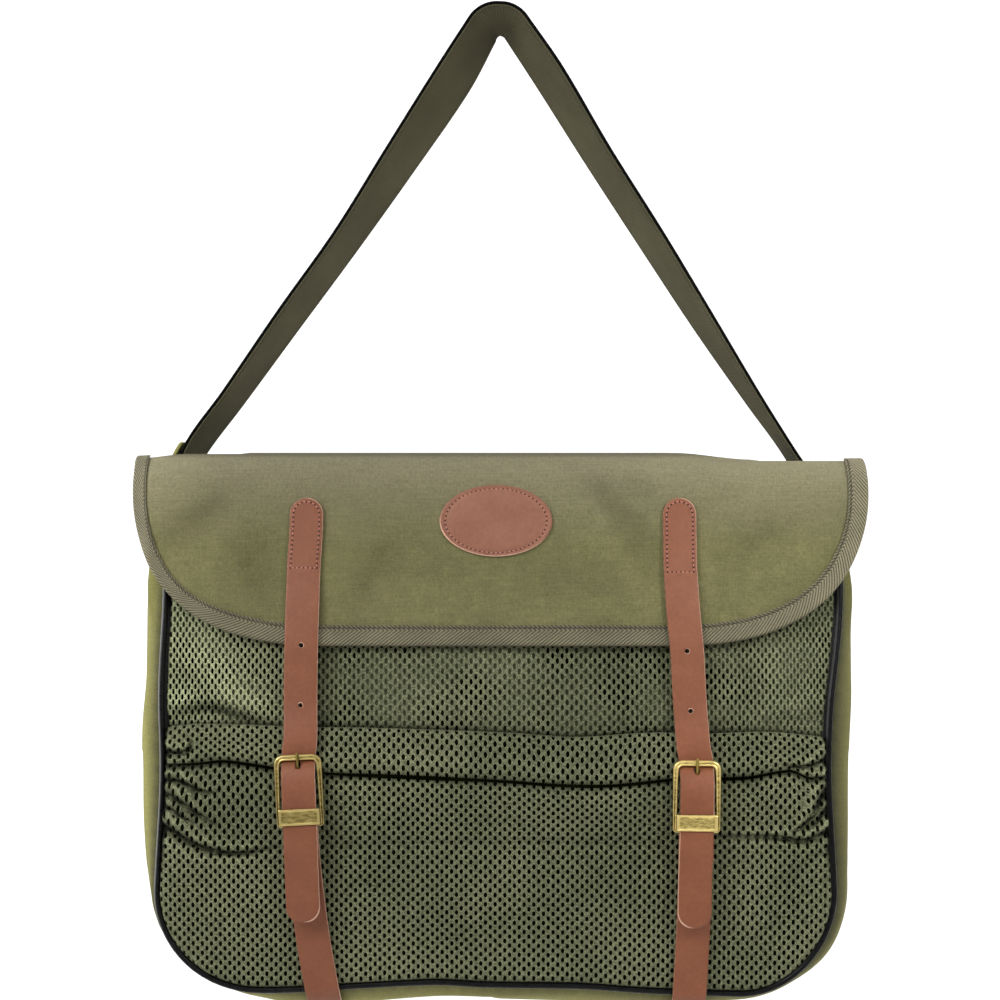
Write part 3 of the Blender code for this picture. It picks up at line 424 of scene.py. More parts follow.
def valleys(folds, x, z):
    """How far soft folds push a cloth in at x, z."""
    total = np.zeros(np.shape(x))
    for fold in folds:
        near, gap, along = beside_fold(fold, x, z)
        side = np.abs(gap) / fold.width
        fade = np.maximum(np.sin(np.pi * np.clip(along, 0.03, 0.97)), 0) ** 0.5
        dip = 0.25 * hump(side, 2.8, 1.6) - hump(side, 0, 1)
        total.reshape(-1)[near] += fold.depth * fade * dip
    return total


def creases(folds, x, z):
    """Gathers at x, z: push outwards where above 0, painted shade, how far they draw cloth up, painted
    highlight.
    """
    total, dark, drawn, light = np.zeros((4,) + np.shape(x))
    for fold in folds:
        near, gap, along = beside_fold(fold, x, z)
        side = gap / (fold.width * mix(1.45, 0.6, along))
        fade = 1 - ease(0.45, 1.0, along)
        dip = hump(side, 0, np.where(side > 0, 0.75, 1.3))
        roll = np.where(side > 0, 0.85 * hump(side, 2.0, 1.2), 0.25 * hump(side, -2.6, 1.2))
        total.reshape(-1)[near] += fold.depth * fade * (roll - dip)
        drawn.reshape(-1)[near] -= 0.42 * fold.width * fade * side * hump(side, 0, 1.6)
        line = 1.5 * hump(side, 0.3, 0.66) + 0.5 * hump(side, 1.3, 0.8)
        lit = hump(side, 2.4, 1.0) + 0.6 * hump(side, -2.2, 1.0)
        for kept, value in ((dark, fade**0.4 * np.minimum(line, 1.0)), (light, fade * lit)):
            flat = kept.reshape(-1)
            flat[near] = np.maximum(flat[near], value)
    return total, dark, drawn, light


def soft_waves(x, z, amplitude):
    """Slow unevenness of hanging cloth."""
    return amplitude * (0.5 * np.sin(37 * x + 19 * z + 1.3) + 0.3 * np.sin(71 * x - 43 * z + 0.4) + 0.2
                        * np.sin(23 * x + 97 * z + 2.1))


# Meshes

def new_mesh(name, points, faces, looks, uv=None, edge=0.0, finish_of=None):
    """A piece from points and faces, with cloth coordinates and wear kept on its points; on the net
    this kept value is painted shade.

    looks holds the names of its finishes, with spaces between.
    """
    mesh = bpy.data.meshes.new(name)
    if isinstance(faces, np.ndarray):
        faces = faces.tolist()
    mesh.from_pydata(np.asarray(points).reshape(-1, 3).tolist(), [], faces)
    for look in looks.split():
        mesh.materials.append(finish(look))
    if uv is not None:
        corners = np.empty(len(mesh.loops), int)
        mesh.loops.foreach_get("vertex_index", corners)
        layer = mesh.uv_layers.new(name="cloth")
        layer.data.foreach_set("uv", np.asarray(uv, float).reshape(-1, 2)[corners].ravel())
        keep_value(mesh, "edge", edge)
    if finish_of is not None:
        mesh.polygons.foreach_set("material_index", np.asarray(finish_of, int))
    mesh.shade_smooth()
    obj = bpy.data.objects.new(name, mesh)
    bpy.context.scene.collection.objects.link(obj)
    return obj


def keep_value(mesh, name, value):
    """Keeps a value of each point of a mesh for its material."""
    layer = mesh.attributes.new(name, "FLOAT", "POINT")
    layer.data.foreach_set("value", np.zeros(len(mesh.vertices)) + np.ravel(value))


def points_of(obj):
    points = np.empty(len(obj.data.vertices) * 3)
    obj.data.vertices.foreach_get("co", points)
    return points.reshape(-1, 3)


def put_points(obj, points):
    obj.data.vertices.foreach_set("co", points.ravel())
    obj.data.update()


def settle(obj):
    """Lets a piece follow the uneven bottom of the bag."""
    points = points_of(obj)
    drop = chart(SAG_ROWS, points[:, 0], y="drop")
    points[:, 2] -= drop * ease(SAG_TOP_Z, BOTTOM_Z + 0.012, points[:, 2])
    put_points(obj, points)


def fasten(obj, slot, *nodes):
    """Puts a piece on the bag in place of the plain solids that it stands for."""
    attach(obj, BODY)
    if nodes:
        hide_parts(*nodes)
    return obj


def grid_faces(rows, columns, keep=None):
    """Faces of a grid whose points run along its rows, first row on top, seen from outside."""
    r, c = np.meshgrid(np.arange(rows - 1), np.arange(columns - 1), indexing="ij")
    first = r * columns + c
    faces = np.stack([first, first + columns, first + columns + 1, first + 1], axis=-1)
    faces = faces.reshape(-1, 4)
    return faces if keep is None else faces[keep(r, c).ravel()]


def ring_faces(rings, sides, joined_up):
    """Faces between rings of points, and from the last ring to the first if joined up."""
    last = rings if joined_up else rings - 1
    r, c = np.meshgrid(np.arange(last), np.arange(sides), indexing="ij")
    ahead, turn = (r + 1) % rings * sides, (c + 1) % sides
    r = r * sides
    return np.stack([r + c, ahead + c, ahead + turn, r + turn], axis=-1).reshape(-1, 4)


def open_edges(faces):
    """Directed edges of faces, given as an array, that only one face uses."""
    edges = np.concatenate([faces[:, [k, (k + 1) % faces.shape[1]]] for k in range(faces.shape[1])])
    edges = edges[edges[:, 0] != edges[:, 1]]
    size = edges.max() + 1
    keys, turned = edges[:, 0] * size + edges[:, 1], edges[:, 1] * size + edges[:, 0]
    return edges[~np.isin(keys, turned)]


def closed(front, back, faces):
    """Points and faces of a sheet with a front, a back and a rim."""
    count = len(front)
    edges = open_edges(faces)
    rim = np.stack([edges[:, 1], edges[:, 0], edges[:, 0] + count, edges[:, 1] + count], axis=1)
    return chain(front, back), chain(faces, faces[:, ::-1] + count, rim)


def two_sided(name, front, back, look, uv=None, edge=0.0):
    """A thin sheet between two grids of points."""
    points, faces = closed(front.reshape(-1, 3), back.reshape(-1, 3), grid_faces(*front.shape[:2]))
    uv = points[:, [0, 2]] if uv is None else np.tile(uv.reshape(-1, 2), (2, 1))
    return new_mesh(name, points, faces, look, uv, edge)


def slab(name, surface, thickness, look, inset, cloth, soft=0.0006, worn=0.001, keep=None, raw=1.0):
    """A sheet of cloth or leather with eased edges, from grids of values.

    surface(out) gives its points, inset is their distance to its outline and cloth their place
    on the flat cloth; raw is how worn its edges look.
    """
    drop = soft - np.sqrt(np.maximum(soft**2 - np.maximum(soft - inset, 0)**2, 0))
    half = thickness / 2 - np.minimum(drop, thickness / 2 * 0.85)
    points, faces = closed(surface(half).reshape(-1, 3), surface(-half).reshape(-1, 3),
                           grid_faces(*inset.shape, keep))
    wear = np.tile((np.clip(1 - inset / worn, 0, 1) * raw).ravel(), 2)
    cloth = np.tile(cloth.reshape(-1, 2), (2, 1))
    used = np.isin(np.arange(len(points)), faces)
    renumber = np.cumsum(used) - 1
    obj = new_mesh(name, points[used], renumber[faces], look, cloth[used], wear[used])
    face_out(obj)
    return obj


def edged(start, end, count, margin=0.0006):
    """Evenly spaced values with some more close to both ends."""
    inner = np.linspace(start, end, count + 1)[1:-1]
    near = np.array([0, 0.3, 1.0]) * margin
    return chain(start + near, inner, end - near[::-1])


def tube(name, path, radius, look, sides=12, ripple=0.0, pitch=0.004):
    """A round piece along a line of points, with closed round ends and faint ripples."""
    along = unit(np.gradient(path, axis=0))
    guide = np.array([0.0, 1.0, 0.0]) if np.abs(along[:, 1]).max() < 0.9 else np.array([1.0, 0, 0])
    side = unit(np.cross(along, guide))
    up = np.cross(side, along)
    runs = runs_of(path)
    angle = np.linspace(0, 2 * np.pi, sides, endpoint=False)
    reach = radius * (1 + ripple * (np.sin(runs * 2 * np.pi / pitch) * 0.5
                                    + np.sin(runs * 3.7 * np.pi / pitch + 1) * 0.5))
    rings = (path[:, None] + (side[:, None] * np.cos(angle)[:, None] + up[:, None]
                              * np.sin(angle)[:, None]) * reach[:, None, None])
    caps = [path[end] + (rings[end] - path[end]) * math.sqrt(1 - turn**2) + along[end] * sign * radius
            * turn for end, sign, turn in ((0, -1, 0.86), (0, -1, 0.5), (-1, 1, 0.5), (-1, 1, 0.86))]
    rings = chain(caps[:2], rings, caps[2:])
    count = len(rings)
    faces = ring_faces(count, sides, False).tolist()
    faces.append(list(range(sides)))
    faces.append([(count - 1) * sides + k for k in range(sides)][::-1])
    uv = stack(angle[None] * radius, chain([0, 0], runs, [runs[-1]] * 2)[:, None])
    obj = new_mesh(name, rings, faces, look, uv)
    face_out(obj)
    return obj


@contextmanager
def opened(obj):
    """A piece's mesh for bmesh operations, written back afterwards."""
    bm = bmesh.new()
    bm.from_mesh(obj.data)
    yield bm
    bm.to_mesh(obj.data)
    bm.free()


def face_out(obj):
    with opened(obj) as bm:
        bmesh.ops.recalc_face_normals(bm, faces=bm.faces)


def mend(obj, distance):
    """Joins points that fell together, drops empty faces and inner walls, and closes gaps."""
    with opened(obj) as bm:
        bmesh.ops.remove_doubles(bm, verts=bm.verts, dist=distance)
        bmesh.ops.dissolve_degenerate(bm, edges=bm.edges, dist=distance / 4)
        inner = [f for f in bm.faces if sum(len(e.link_faces) > 2 for e in f.edges) > 1]
        bmesh.ops.delete(bm, geom=inner, context="FACES")
        bmesh.ops.holes_fill(bm, edges=bm.edges, sides=200)
        bmesh.ops.recalc_face_normals(bm, faces=bm.faces)


def stations(path, outward, pitch, first):
    """Evenly spaced places along a seam, with the whole seam's runs and the way out at each."""
    runs = runs_of(path)
    count = max(int(round(runs[-1] / pitch)), 1)
    at = np.arange(first, count + 1 - first) * runs[-1] / count
    return at, runs, along_line(at, runs, path), unit(along_line(at, runs, outward))


def stitches(name, slot, lines, pitch, thread, look, share=0.7):
    """Rows of stitches. Each line is its points and the directions away from the cloth."""
    rings, sides = (-1.0, -0.82, 0.0, 0.82, 1.0), 6
    swell = (0.25, 0.72, 1.0, 0.72, 0.25)
    turns = [k * math.pi * 2 / sides for k in range(sides)]
    template = np.array([(t, s * math.cos(turn), s * math.sin(turn)) for t, s in zip(rings, swell)
                         for turn in turns])
    shape = ring_faces(len(rings), sides, False).tolist()
    shape += [list(range(sides)), [(len(rings) - 1) * sides + k for k in range(sides)][::-1]]
    points, faces = [], []
    for path, outward in lines:
        at, runs, middle, out = stations(path, outward, pitch, 0.5)
        along = unit(along_line(at + pitch * 0.3, runs, path)
                     - along_line(at - pitch * 0.3, runs, path))
        for m, t, s, o in zip(middle, along, unit(np.cross(along, out)), out):
            first = len(points) * len(template)
            points.append(m + t * template[:, :1] * pitch * share / 2 + s * template[:, 1:2] * thread
                          / 2 + o * template[:, 2:] * thread * 0.45)
            faces += [[first + v for v in face] for face in shape]
    uv = np.tile(template[:, :2] * pitch, (len(points), 1))
    fasten(new_mesh(name, np.concatenate(points), faces, look, uv), slot)


def needle_holes(name, slot, lines, pitch, size, sunk):
    """Dark punctures between the stitches of the same lines, painted shade in the holes."""
    angle = np.linspace(0, 2 * np.pi, 7)[:-1, None]
    points, faces = [], []
    for line in lines:
        _, _, middle, out = stations(*line, pitch, 0)
        side = unit(np.cross(out, [0.0, 0.0, 1.0]))
        for m, o, s, u in zip(middle, out, side, np.cross(side, out)):
            first = len(points) * 7
            ring = m - o * sunk + size * (s * np.cos(angle) + u * np.sin(angle))
            points.append(chain(ring, [m - o * (sunk - size * 0.12)]))
            faces += [[first + k, first + (k + 1) % 6, first + 6] for k in range(6)]
            faces.append([first + k for k in reversed(range(6))])
    points = np.concatenate(points)
    fasten(new_mesh(name, points, faces, "hole_shade", points[:, [0, 2]]), slot)


# The seam line and the flat panels

def lean(z):
    return mix(LEAN_TOP, LEAN_LOW, ease(-0.35, -0.43, z))


def half_width(z, inset=0.0):
    straight = HALF_WIDTH - WAIST * hump(z, WAIST_Z, WAIST_SPREAD) - inset
    radius = CORNER_RADIUS - inset
    below = np.maximum(CORNER_Z - z, 0)
    turned = BOTTOM_RUN + np.sqrt(np.maximum(radius**2 - below**2, 0))
    return np.where(z >= CORNER_Z, straight, turned)


BOTTOM_RUN = float(HALF_WIDTH - WAIST * hump(CORNER_Z, WAIST_Z, WAIST_SPREAD) - CORNER_RADIUS)
CORNER_RUN = CORNER_RADIUS * math.pi / 2
SIDE_RUN = MOUTH_Z - CORNER_Z
HALF_RUN = BOTTOM_RUN + CORNER_RUN + SIDE_RUN


def front_y(z):
    return mix(FRONT_MOUTH_Y, FRONT_LOW_Y, ease(-0.29, -0.45, z))


def seam_at(distance):
    """Point and outward direction on the seam, by signed distance from the bottom's middle."""
    sign, run = np.where(distance < 0, -1.0, 1.0), np.abs(distance)
    angle = np.clip((run - BOTTOM_RUN) / CORNER_RADIUS, 0, math.pi / 2)
    rise = np.maximum(run - BOTTOM_RUN - CORNER_RUN, 0)
    z = CORNER_Z - CORNER_RADIUS * np.cos(angle) + rise
    z = np.where(rise > 0, np.minimum(CORNER_Z + rise, MOUTH_Z), z)
    x = np.minimum(run, BOTTOM_RUN) + CORNER_RADIUS * np.sin(angle)
    x = np.where(rise > 0, half_width(z), x)
    return sign * x + lean(z), z, sign * np.sin(angle), -np.cos(angle)


def seam_gap(x, z):
    """Distance inside the seam line, less than 0 outside it."""
    x = np.abs(x - lean(z))
    turn = CORNER_RADIUS - np.hypot(np.maximum(x - BOTTOM_RUN, 0), CORNER_Z - z)
    low = np.where(x > BOTTOM_RUN, turn, z - BOTTOM_Z)
    return np.where(z >= CORNER_Z, half_width(z) - x, low)


def hold_inside(x, z, inset=SEAM_INSET):
    """Moves points that lie outside a line inside the seam onto that line."""
    shift = lean(z)
    sign, x = np.where(x < shift, -1.0, 1.0), np.abs(x - shift)
    high = z >= CORNER_Z
    radius = CORNER_RADIUS - inset
    along, up = np.maximum(x - BOTTOM_RUN, 0), z - CORNER_Z
    reach = np.hypot(along, up)
    share = np.minimum(radius / np.maximum(reach, 1e-9), 1)
    round_x, round_z = BOTTOM_RUN + along * share, CORNER_Z + up * share
    low_x = np.where(x > BOTTOM_RUN, round_x, x)
    low_z = np.where(x > BOTTOM_RUN, round_z, np.maximum(z, BOTTOM_Z + inset))
    new_x = np.where(high, np.minimum(x, half_width(z) - inset), low_x)
    return sign * new_x + shift, np.where(high, z, low_z)


def belly(x, z):
    across = 1 - (x / HALF_WIDTH) ** 2
    upper = mix(1.0, 0.3, ease(MOUTH_Z - 0.06, MOUTH_Z, z))
    return FRONT_BELLY * across * upper * ease(BOTTOM_Z, BOTTOM_Z + 0.07, z)


def net_y(x, z):
    return front_y(z) - belly(x, z)


# Materials

class Recipe:
    """A material's nodes, added one by one and fed to its shader."""

    def __init__(self, name, roughness, metallic=0.0, gloss=0.25):
        self.material = bpy.data.materials.new(name)
        self.material.use_nodes = True
        self.tree = self.material.node_tree
        self.shader = self.tree.nodes["Principled BSDF"]
        self.shader.inputs["Roughness"].default_value = roughness
        self.shader.inputs["Metallic"].default_value = metallic
        self.shader.inputs["Specular IOR Level"].default_value = gloss

    def node(self, kind, inputs=(), **settings):
        made = self.tree.nodes.new("ShaderNode" + kind)
        for name, value in settings.items():
            setattr(made, name, value)
        for socket, value in inputs:
            self.feed(made.inputs[socket], value)
        return made

    def feed(self, socket, value):
        if isinstance(value, bpy.types.NodeSocket):
            self.tree.links.new(value, socket)
        elif hasattr(value, "__len__") and socket.type == "RGBA":
            socket.default_value = (*value, 1)
        else:
            socket.default_value = value

    def cloth(self):
        """Place on the flat cloth, in metres."""
        return self.node("UVMap", uv_map="cloth").outputs["UV"]

    def place(self):
        return self.node("TexCoord").outputs["Object"]

    def kept(self, name):
        """A value kept on the points of the mesh."""
        return self.node("Attribute", attribute_name=name).outputs["Fac"]

    def axis(self, vector, number):
        return self.node("SeparateXYZ", [(0, vector)]).outputs[number]

    def stretch(self, vector, x, y, z=1.0):
        made = self.node("VectorMath", [(0, vector), (1, (x, y, z))], operation="MULTIPLY")
        return made.outputs[0]

    def noise(self, vector, scale, detail=2.0, roughness=0.5):
        made = self.node("TexNoise", [("Vector", vector), ("Scale", scale), ("Detail", detail),
                                      ("Roughness", roughness)])
        return made.outputs["Fac"]

    def fibres(self, vector, x, y, z=1.0, roughness=0.6):
        """Noise drawn out along threads."""
        return self.noise(self.stretch(vector, x, y, z), 1.0, 3.0, roughness)

    def cells(self, vector, scale):
        made = self.node("TexVoronoi", [("Vector", vector), ("Scale", scale)])
        return made.outputs["Distance"]

    def math(self, operation, a, b=0.0):
        return self.node("Math", [(0, a), (1, b)], operation=operation).outputs[0]

    def plus(self, a, b):
        return self.math("ADD", a, b)

    def times(self, a, b):
        return self.math("MULTIPLY", a, b)

    def ribs(self, value, period):
        """Sine of a place along the cloth, -1 to 1."""
        return self.math("SINE", self.times(value, 2 * math.pi / period))

    def span(self, value, low, high, to_low=0.0, to_high=1.0):
        made = self.node("MapRange", [("Value", value), ("From Min", low), ("From Max", high),
                                      ("To Min", to_low), ("To Max", to_high)])
        return made.outputs["Result"]

    def vary(self, noise, low, high):
        """Noise as a value that mostly lies between low and high."""
        return self.span(noise, 0.3, 0.7, low, high)

    def across(self, start, end, low, high):
        """Value that runs from low to high between two places across the bag."""
        return self.span(self.axis(self.place(), 0), start, end, low, high)

    def height(self, start, end, low=0.0, high=1.0):
        """Value that runs from low to high between two heights."""
        return self.span(self.axis(self.place(), 2), start, end, low, high)

    def blend(self, factor, a, b):
        made = self.node("Mix", [("Factor", factor), (6, a), (7, b)], data_type="RGBA")
        return made.outputs[2]

    def tint(self, shade, *values):
        """Scales a colour by each value."""
        for value in values:
            shade = self.node("VectorMath", [(0, shade), ("Scale", value)],
                              operation="SCALE").outputs[0]
        return shade

    def bump(self, height, distance, *normal):
        inputs = [("Height", height), ("Distance", distance)]
        inputs += [("Normal", below) for below in normal]
        return self.node("Bump", inputs).outputs["Normal"]

    def finish(self, shade, roughness=None, normal=None):
        for name, value in (("Base Color", shade), ("Roughness", roughness), ("Normal", normal)):
            if value is not None:
                self.feed(self.shader.inputs[name], value)
        return self.material


def canvas_finish(name, light, shade, streak=1.0, top=None, sides=None):
    """Plain weave with slubs, in uneven olive; a streak above 1 draws its patches out.

    top is a paler colour that it turns to above the front of the flap, painted light on its upturned
    top; sides gives the painted light and shade at the left and at the right of the bag.
    """
    mat = Recipe(name, 0.92)
    cloth = mat.cloth()
    weave = mat.times(*[mat.ribs(mat.axis(cloth, k), sizes().weave) for k in (0, 1)])
    threads = mat.plus(mat.fibres(cloth, 380, 1400), mat.fibres(cloth, 1400, 320))
    broad = mat.noise(cloth, 13.0, 3.0, 0.55)
    patchy = mat.noise(mat.stretch(cloth, streak, 1.0), 95.0, 4.0, 0.65)
    mood = mat.plus(mat.times(patchy, 0.45), mat.times(broad, 0.6))
    base = mat.blend(mat.span(mood, 0.34, 0.7), shade, light)
    if top is not None:
        # Painted light: the top of the flap turns to the paler colour where light from above falls on
        # it.
        base = mat.blend(mat.height(-0.325, -0.278), base, top)
        # Painted shade along the top fold, painted light towards the right and at the far left, and
        # painted shade in the soft folds with painted light on their ridges.
        base = mat.tint(base, mat.height(-0.2716, -0.2694, 1.0, 0.62),
                        mat.across(-0.14, 0.18, 0.9, 1.1), mat.across(-0.165, -0.205, 1.0, 1.22),
                        mat.span(mat.kept("fold"), -0.004, 0.001, 0.8, 1.06))
    if sides is not None:
        # Painted shade: darker towards the front seam, less so near the bottom; sides is painted light
        # at the left and painted shade at the right.
        painted_seam_shade = mat.span(mat.axis(cloth, 0), 0.001, 0.026, 0.18, 1.22)
        below = mat.height(-0.555, -0.585, 0.0, 0.34)
        base = mat.tint(base, mat.across(-0.2, 0.2, *sides), mat.plus(painted_seam_shade, below))
    tinted = mat.tint(base, mat.vary(mat.fibres(cloth, 55, 850), 0.9, 1.1),
                      mat.vary(mat.fibres(cloth, 700, 60), 0.94, 1.06),
                      mat.span(threads, 0.72, 1.28, 0.77, 1.21), mat.span(weave, -1, 1, 0.95, 1.05))
    lumps = mat.bump(threads, 0.00035)
    return mat.finish(tinted, None, mat.bump(weave, 0.00008, lumps))


def net_finish(name, sides=None):
    """Knitted threads of the net, with painted shade down in its holes, folds and creases and a
    painted highlight on its rolls; sides is how much painted light it has at the sides.
    """
    mat = Recipe(name, 0.9, gloss=0.12)
    cloth = mat.cloth()
    knit = mat.fibres(cloth, 700, 1000, roughness=0.7)
    loops = mat.cells(mat.stretch(cloth, 1.0, 0.8), 900.0)
    base = mat.blend(mat.span(mat.noise(cloth, 16.0, 2.0), 0.35, 0.65), colours().net_shade,
                     colours().net)
    base = mat.blend(0.45, base, colours().net)
    tinted = mat.tint(base, mat.vary(knit, 0.5, 1.5), mat.span(loops, 0.1, 0.7, 1.3, 0.7))
    # Painted light: with sides the upper net is lighter at the left and right; the pocket is lighter
    # towards its foot and, as painted light, at the right.
    if sides:
        tinted = mat.tint(tinted, mat.across(-0.125, -0.185, 1.0, sides[0]),
                          mat.across(0.125, 0.185, 1.0, sides[1]))
    else:
        tinted = mat.tint(tinted, mat.height(-0.47, -0.57, 0.93, 1.1),
                          mat.across(0.12, 0.18, 1.0, 1.14))
    # Painted highlight on the rolls, from the kept roll value.
    tinted = mat.tint(tinted, mat.span(mat.kept("roll"), 0.0, 1.0, 1.0, 1.45))
    # Painted shade: the kept edge value turns the threads to the near black of the holes in the pits,
    # folds, creases, tuck and under the flap.
    depth = mat.math("POWER", mat.kept("edge"), 0.9)
    return mat.finish(mat.blend(depth, tinted, colours().hole), None, mat.bump(knit, 0.0005))


def hole_finish(name, light):
    """Inner layer of the net at the bottom of its holes, painted near black as shade; light shows its
    threads in places.
    """
    mat = Recipe(name, 0.95, gloss=0.0)
    show = mat.span(mat.noise(mat.cloth(), 24.0, 2.0), 0.42, 0.62, 0.0, light)
    return mat.finish(mat.blend(show, colours().hole, colours().net_shade))


def tape_finish(name):
    """Herringbone tape: ribs that lean one way and then the other across its width."""
    mat = Recipe(name, 0.88)
    cloth = mat.cloth()
    across, along = mat.axis(cloth, 0), mat.axis(cloth, 1)
    lean_in = mat.math("ABSOLUTE", mat.plus(across, -0.3 * TAPE_WIDTH))
    ribs = mat.ribs(mat.plus(along, mat.times(lean_in, 1.3)), sizes().twill)
    fibres = mat.fibres(cloth, 1300, 1300)
    wander = mat.plus(ribs, mat.vary(fibres, -0.35, 0.35))
    base = mat.blend(mat.span(wander, -0.95, 0.3), colours().tape_shade, colours().tape)
    dashes = mat.span(mat.ribs(along, sizes().seam_stitch), -1, 1, -0.0002, 0.0004)
    sewn = mat.plus(mat.math("ABSOLUTE", mat.plus(across, -0.0017)), dashes)
    # The last two tints are painted light, lighter towards both ends of the flap and most at the right.
    tinted = mat.tint(base, mat.vary(fibres, 0.86, 1.14),
                      mat.vary(mat.noise(cloth, 40.0, 3.0), 0.86, 1.12),
                      mat.span(sewn, 0.0002, 0.0008, 0.42, 1.0),
                      mat.span(across, 0.0014, 0.002, 0.86, 1.0), mat.across(-0.15, -0.2, 0.95, 1.15),
                      mat.across(0.11, 0.2, 0.95, 1.3))
    height = mat.plus(mat.times(ribs, 0.5), fibres)
    return mat.finish(tinted, None, mat.bump(height, 0.00035))


def piping_finish(name):
    """Black cover with fine cracks and a painted highlight on its left side."""
    mat = Recipe(name, 0.32, gloss=0.16)
    cracks = mat.noise(mat.place(), 420.0, 3.0, 0.6)
    # Painted highlight: lighter where the cord faces left, weaker at the right of the bag and low down.
    to_side = mat.axis(mat.node("NewGeometry").outputs["Normal"], 0)
    painted_highlight = mat.times(mat.span(to_side, -0.85, -0.3, 75.0, 0.0), mat.across(-0.1, 0.1, 1.0, 0.4))
    painted_highlight = mat.times(painted_highlight, mat.height(-0.545, -0.515, 0.45, 1.0))
    shade = mat.tint(colours().piping, mat.plus(mat.vary(cracks, 0.7, 1.5), painted_highlight))
    return mat.finish(shade, mat.vary(cracks, 0.24, 0.42), mat.bump(cracks, 0.0002))


def leather_finish(name, tint):
    """Smooth grain with pale raw edges and darker handling marks, browner towards its foot."""
    mat = Recipe(name, 0.5, gloss=0.34)
    cloth = mat.cloth()
    broad = mat.noise(cloth, 45.0, 3.0, 0.6)
    spots = mat.noise(cloth, 420.0, 3.0, 0.65)
    base = mat.blend(mat.span(broad, 0.35, 0.65), colours().leather_shade, colours().leather)
    # Painted light: the leather is darker at the left of the bag than at the right.
    base = mat.tint(base, mat.vary(spots, 0.9, 1.1), mat.across(-0.12, 0.11, 0.86, 0.98))
    browner = mat.stretch(base, 0.94, 0.88, 0.76)
    base = mat.blend(mat.height(-0.46, -0.335), browner, mat.stretch(base, *tint))
    raw = mat.span(mat.plus(mat.kept("edge"), mat.vary(spots, -0.12, 0.12)), 0.45, 0.8)
    grain = mat.plus(mat.times(mat.cells(cloth, 1900.0), 0.6), spots)
    return mat.finish(mat.blend(raw, base, colours().leather_edge), mat.vary(spots, 0.42, 0.56),
                      mat.bump(grain, 0.0001))


def brass_finish(name):
    """Antique brass: dark in its hollows and bright where it rubs."""
    mat = Recipe(name, 0.36, 1.0, 0.5)
    place = mat.place()
    patches = mat.noise(mat.stretch(place, 0.35, 1.0, 1.5), 520.0, 4.0, 0.7)
    fine = mat.noise(place, 2200.0, 3.0, 0.7)
    worn = mat.plus(mat.kept("edge"), mat.vary(patches, -0.42, 0.42))
    bright = mat.span(worn, 0.25, 0.85)
    # Painted light: the right buckle and keeper are lighter than the left ones.
    base = mat.tint(mat.blend(bright, colours().brass_shade, colours().brass),
                    mat.vary(fine, 0.88, 1.12), mat.across(-0.1, 0.1, 0.76, 1.25))
    return mat.finish(base, mat.span(bright, 0.0, 1.0, 0.5, 0.3),
                      mat.bump(mat.plus(patches, fine), 0.00008))


def webbing_finish(name, dark, light, period):
    """Ribbed narrow cloth, its ribs across the strap."""
    mat = Recipe(name, 0.9, gloss=0.1)
    cloth = mat.cloth()
    ribs = mat.ribs(mat.axis(cloth, 1), period)
    height = mat.plus(mat.times(ribs, 0.5), mat.fibres(cloth, 1400, 900))
    base = mat.blend(mat.span(height, 0.1, 0.9), dark, light)
    tinted = mat.tint(base, mat.vary(mat.noise(cloth, 22.0, 3.0), 0.85, 1.15))
    return mat.finish(tinted, None, mat.bump(height, 0.0001))


def thread_finish(name, shade):
    mat = Recipe(name, 0.6)
    fibres = mat.noise(mat.stretch(mat.place(), 1500, 1500, 1500), 1.0, 2.0)
    return mat.finish(mat.tint(shade, mat.vary(fibres, 0.75, 1.25)), None, mat.bump(fibres, 0.0001))


def paper_finish(name):
    mat = Recipe(name, 0.9)
    mottle = mat.noise(mat.place(), 3.0)
    return mat.finish(mat.tint(colours().studio, mat.vary(mottle, 0.995, 1.0)))


def mixed(shade, share):
    return tuple(min(value * share, 1.0) for value in shade)


FINISHES = {
    "canvas": lambda: canvas_finish("canvas", colours().canvas, colours().canvas_shade),
    "flap": lambda: canvas_finish("flap_canvas", colours().canvas, colours().canvas_shade,
                                  top=colours().lit_flap_top),
    # The gusset's sides are painted light at the left and painted shade at the right.
    "gusset": lambda: canvas_finish("gusset_canvas", colours().gusset,
                                    mixed(colours().gusset, 0.74), 6.0, sides=(1.23, 0.84)),
    "upper_net": lambda: net_finish("net_threads_upper", (1.78, 1.134)),
    "net": lambda: net_finish("net_threads"),
    "net_hole_open": lambda: hole_finish("net_holes_upper", 0.55),
    "net_hole": lambda: hole_finish("net_holes_pocket", 0.03),
    "tape": lambda: tape_finish("herringbone_tape"),
    "piping": lambda: piping_finish("piping_cover"),
    "leather": lambda: leather_finish("red_brown_leather", (1.0, 1.05, 1.06)),
    "patch": lambda: leather_finish("patch_leather", (1.08, 1.28, 1.5)),
    "brass": lambda: brass_finish("antique_brass"),
    "strap": lambda: webbing_finish("strap_tape", mixed(colours().strap, 0.75), colours().strap,
                                    0.0012),
    "webbing": lambda: webbing_finish("black_webbing", mixed(colours().webbing, 0.5),
                                      mixed(colours().webbing, 1.8), 0.0016),
    "hole_shade": lambda: thread_finish("needle_hole_shade", (0.024, 0.007, 0.004)),
    "raw_edge": lambda: thread_finish("raw_leather_edge", colours().leather_edge),
    "leather_thread": lambda: thread_finish("leather_thread", colours().leather_thread),
    "cloth_thread": lambda: thread_finish("cloth_thread", colours().cloth_thread),
    "paper": lambda: paper_finish("studio_paper"),
}


@cache
def finish(name):
    """A material, made when it is first asked for."""
    return FINISHES[name]()


# Net

def gathered(mesh, a):
    """Place across the bag of a thread of net; they lie closer together towards the sides."""
    return a * (1 - mesh.gather * (a / HALF_WIDTH) ** 2)


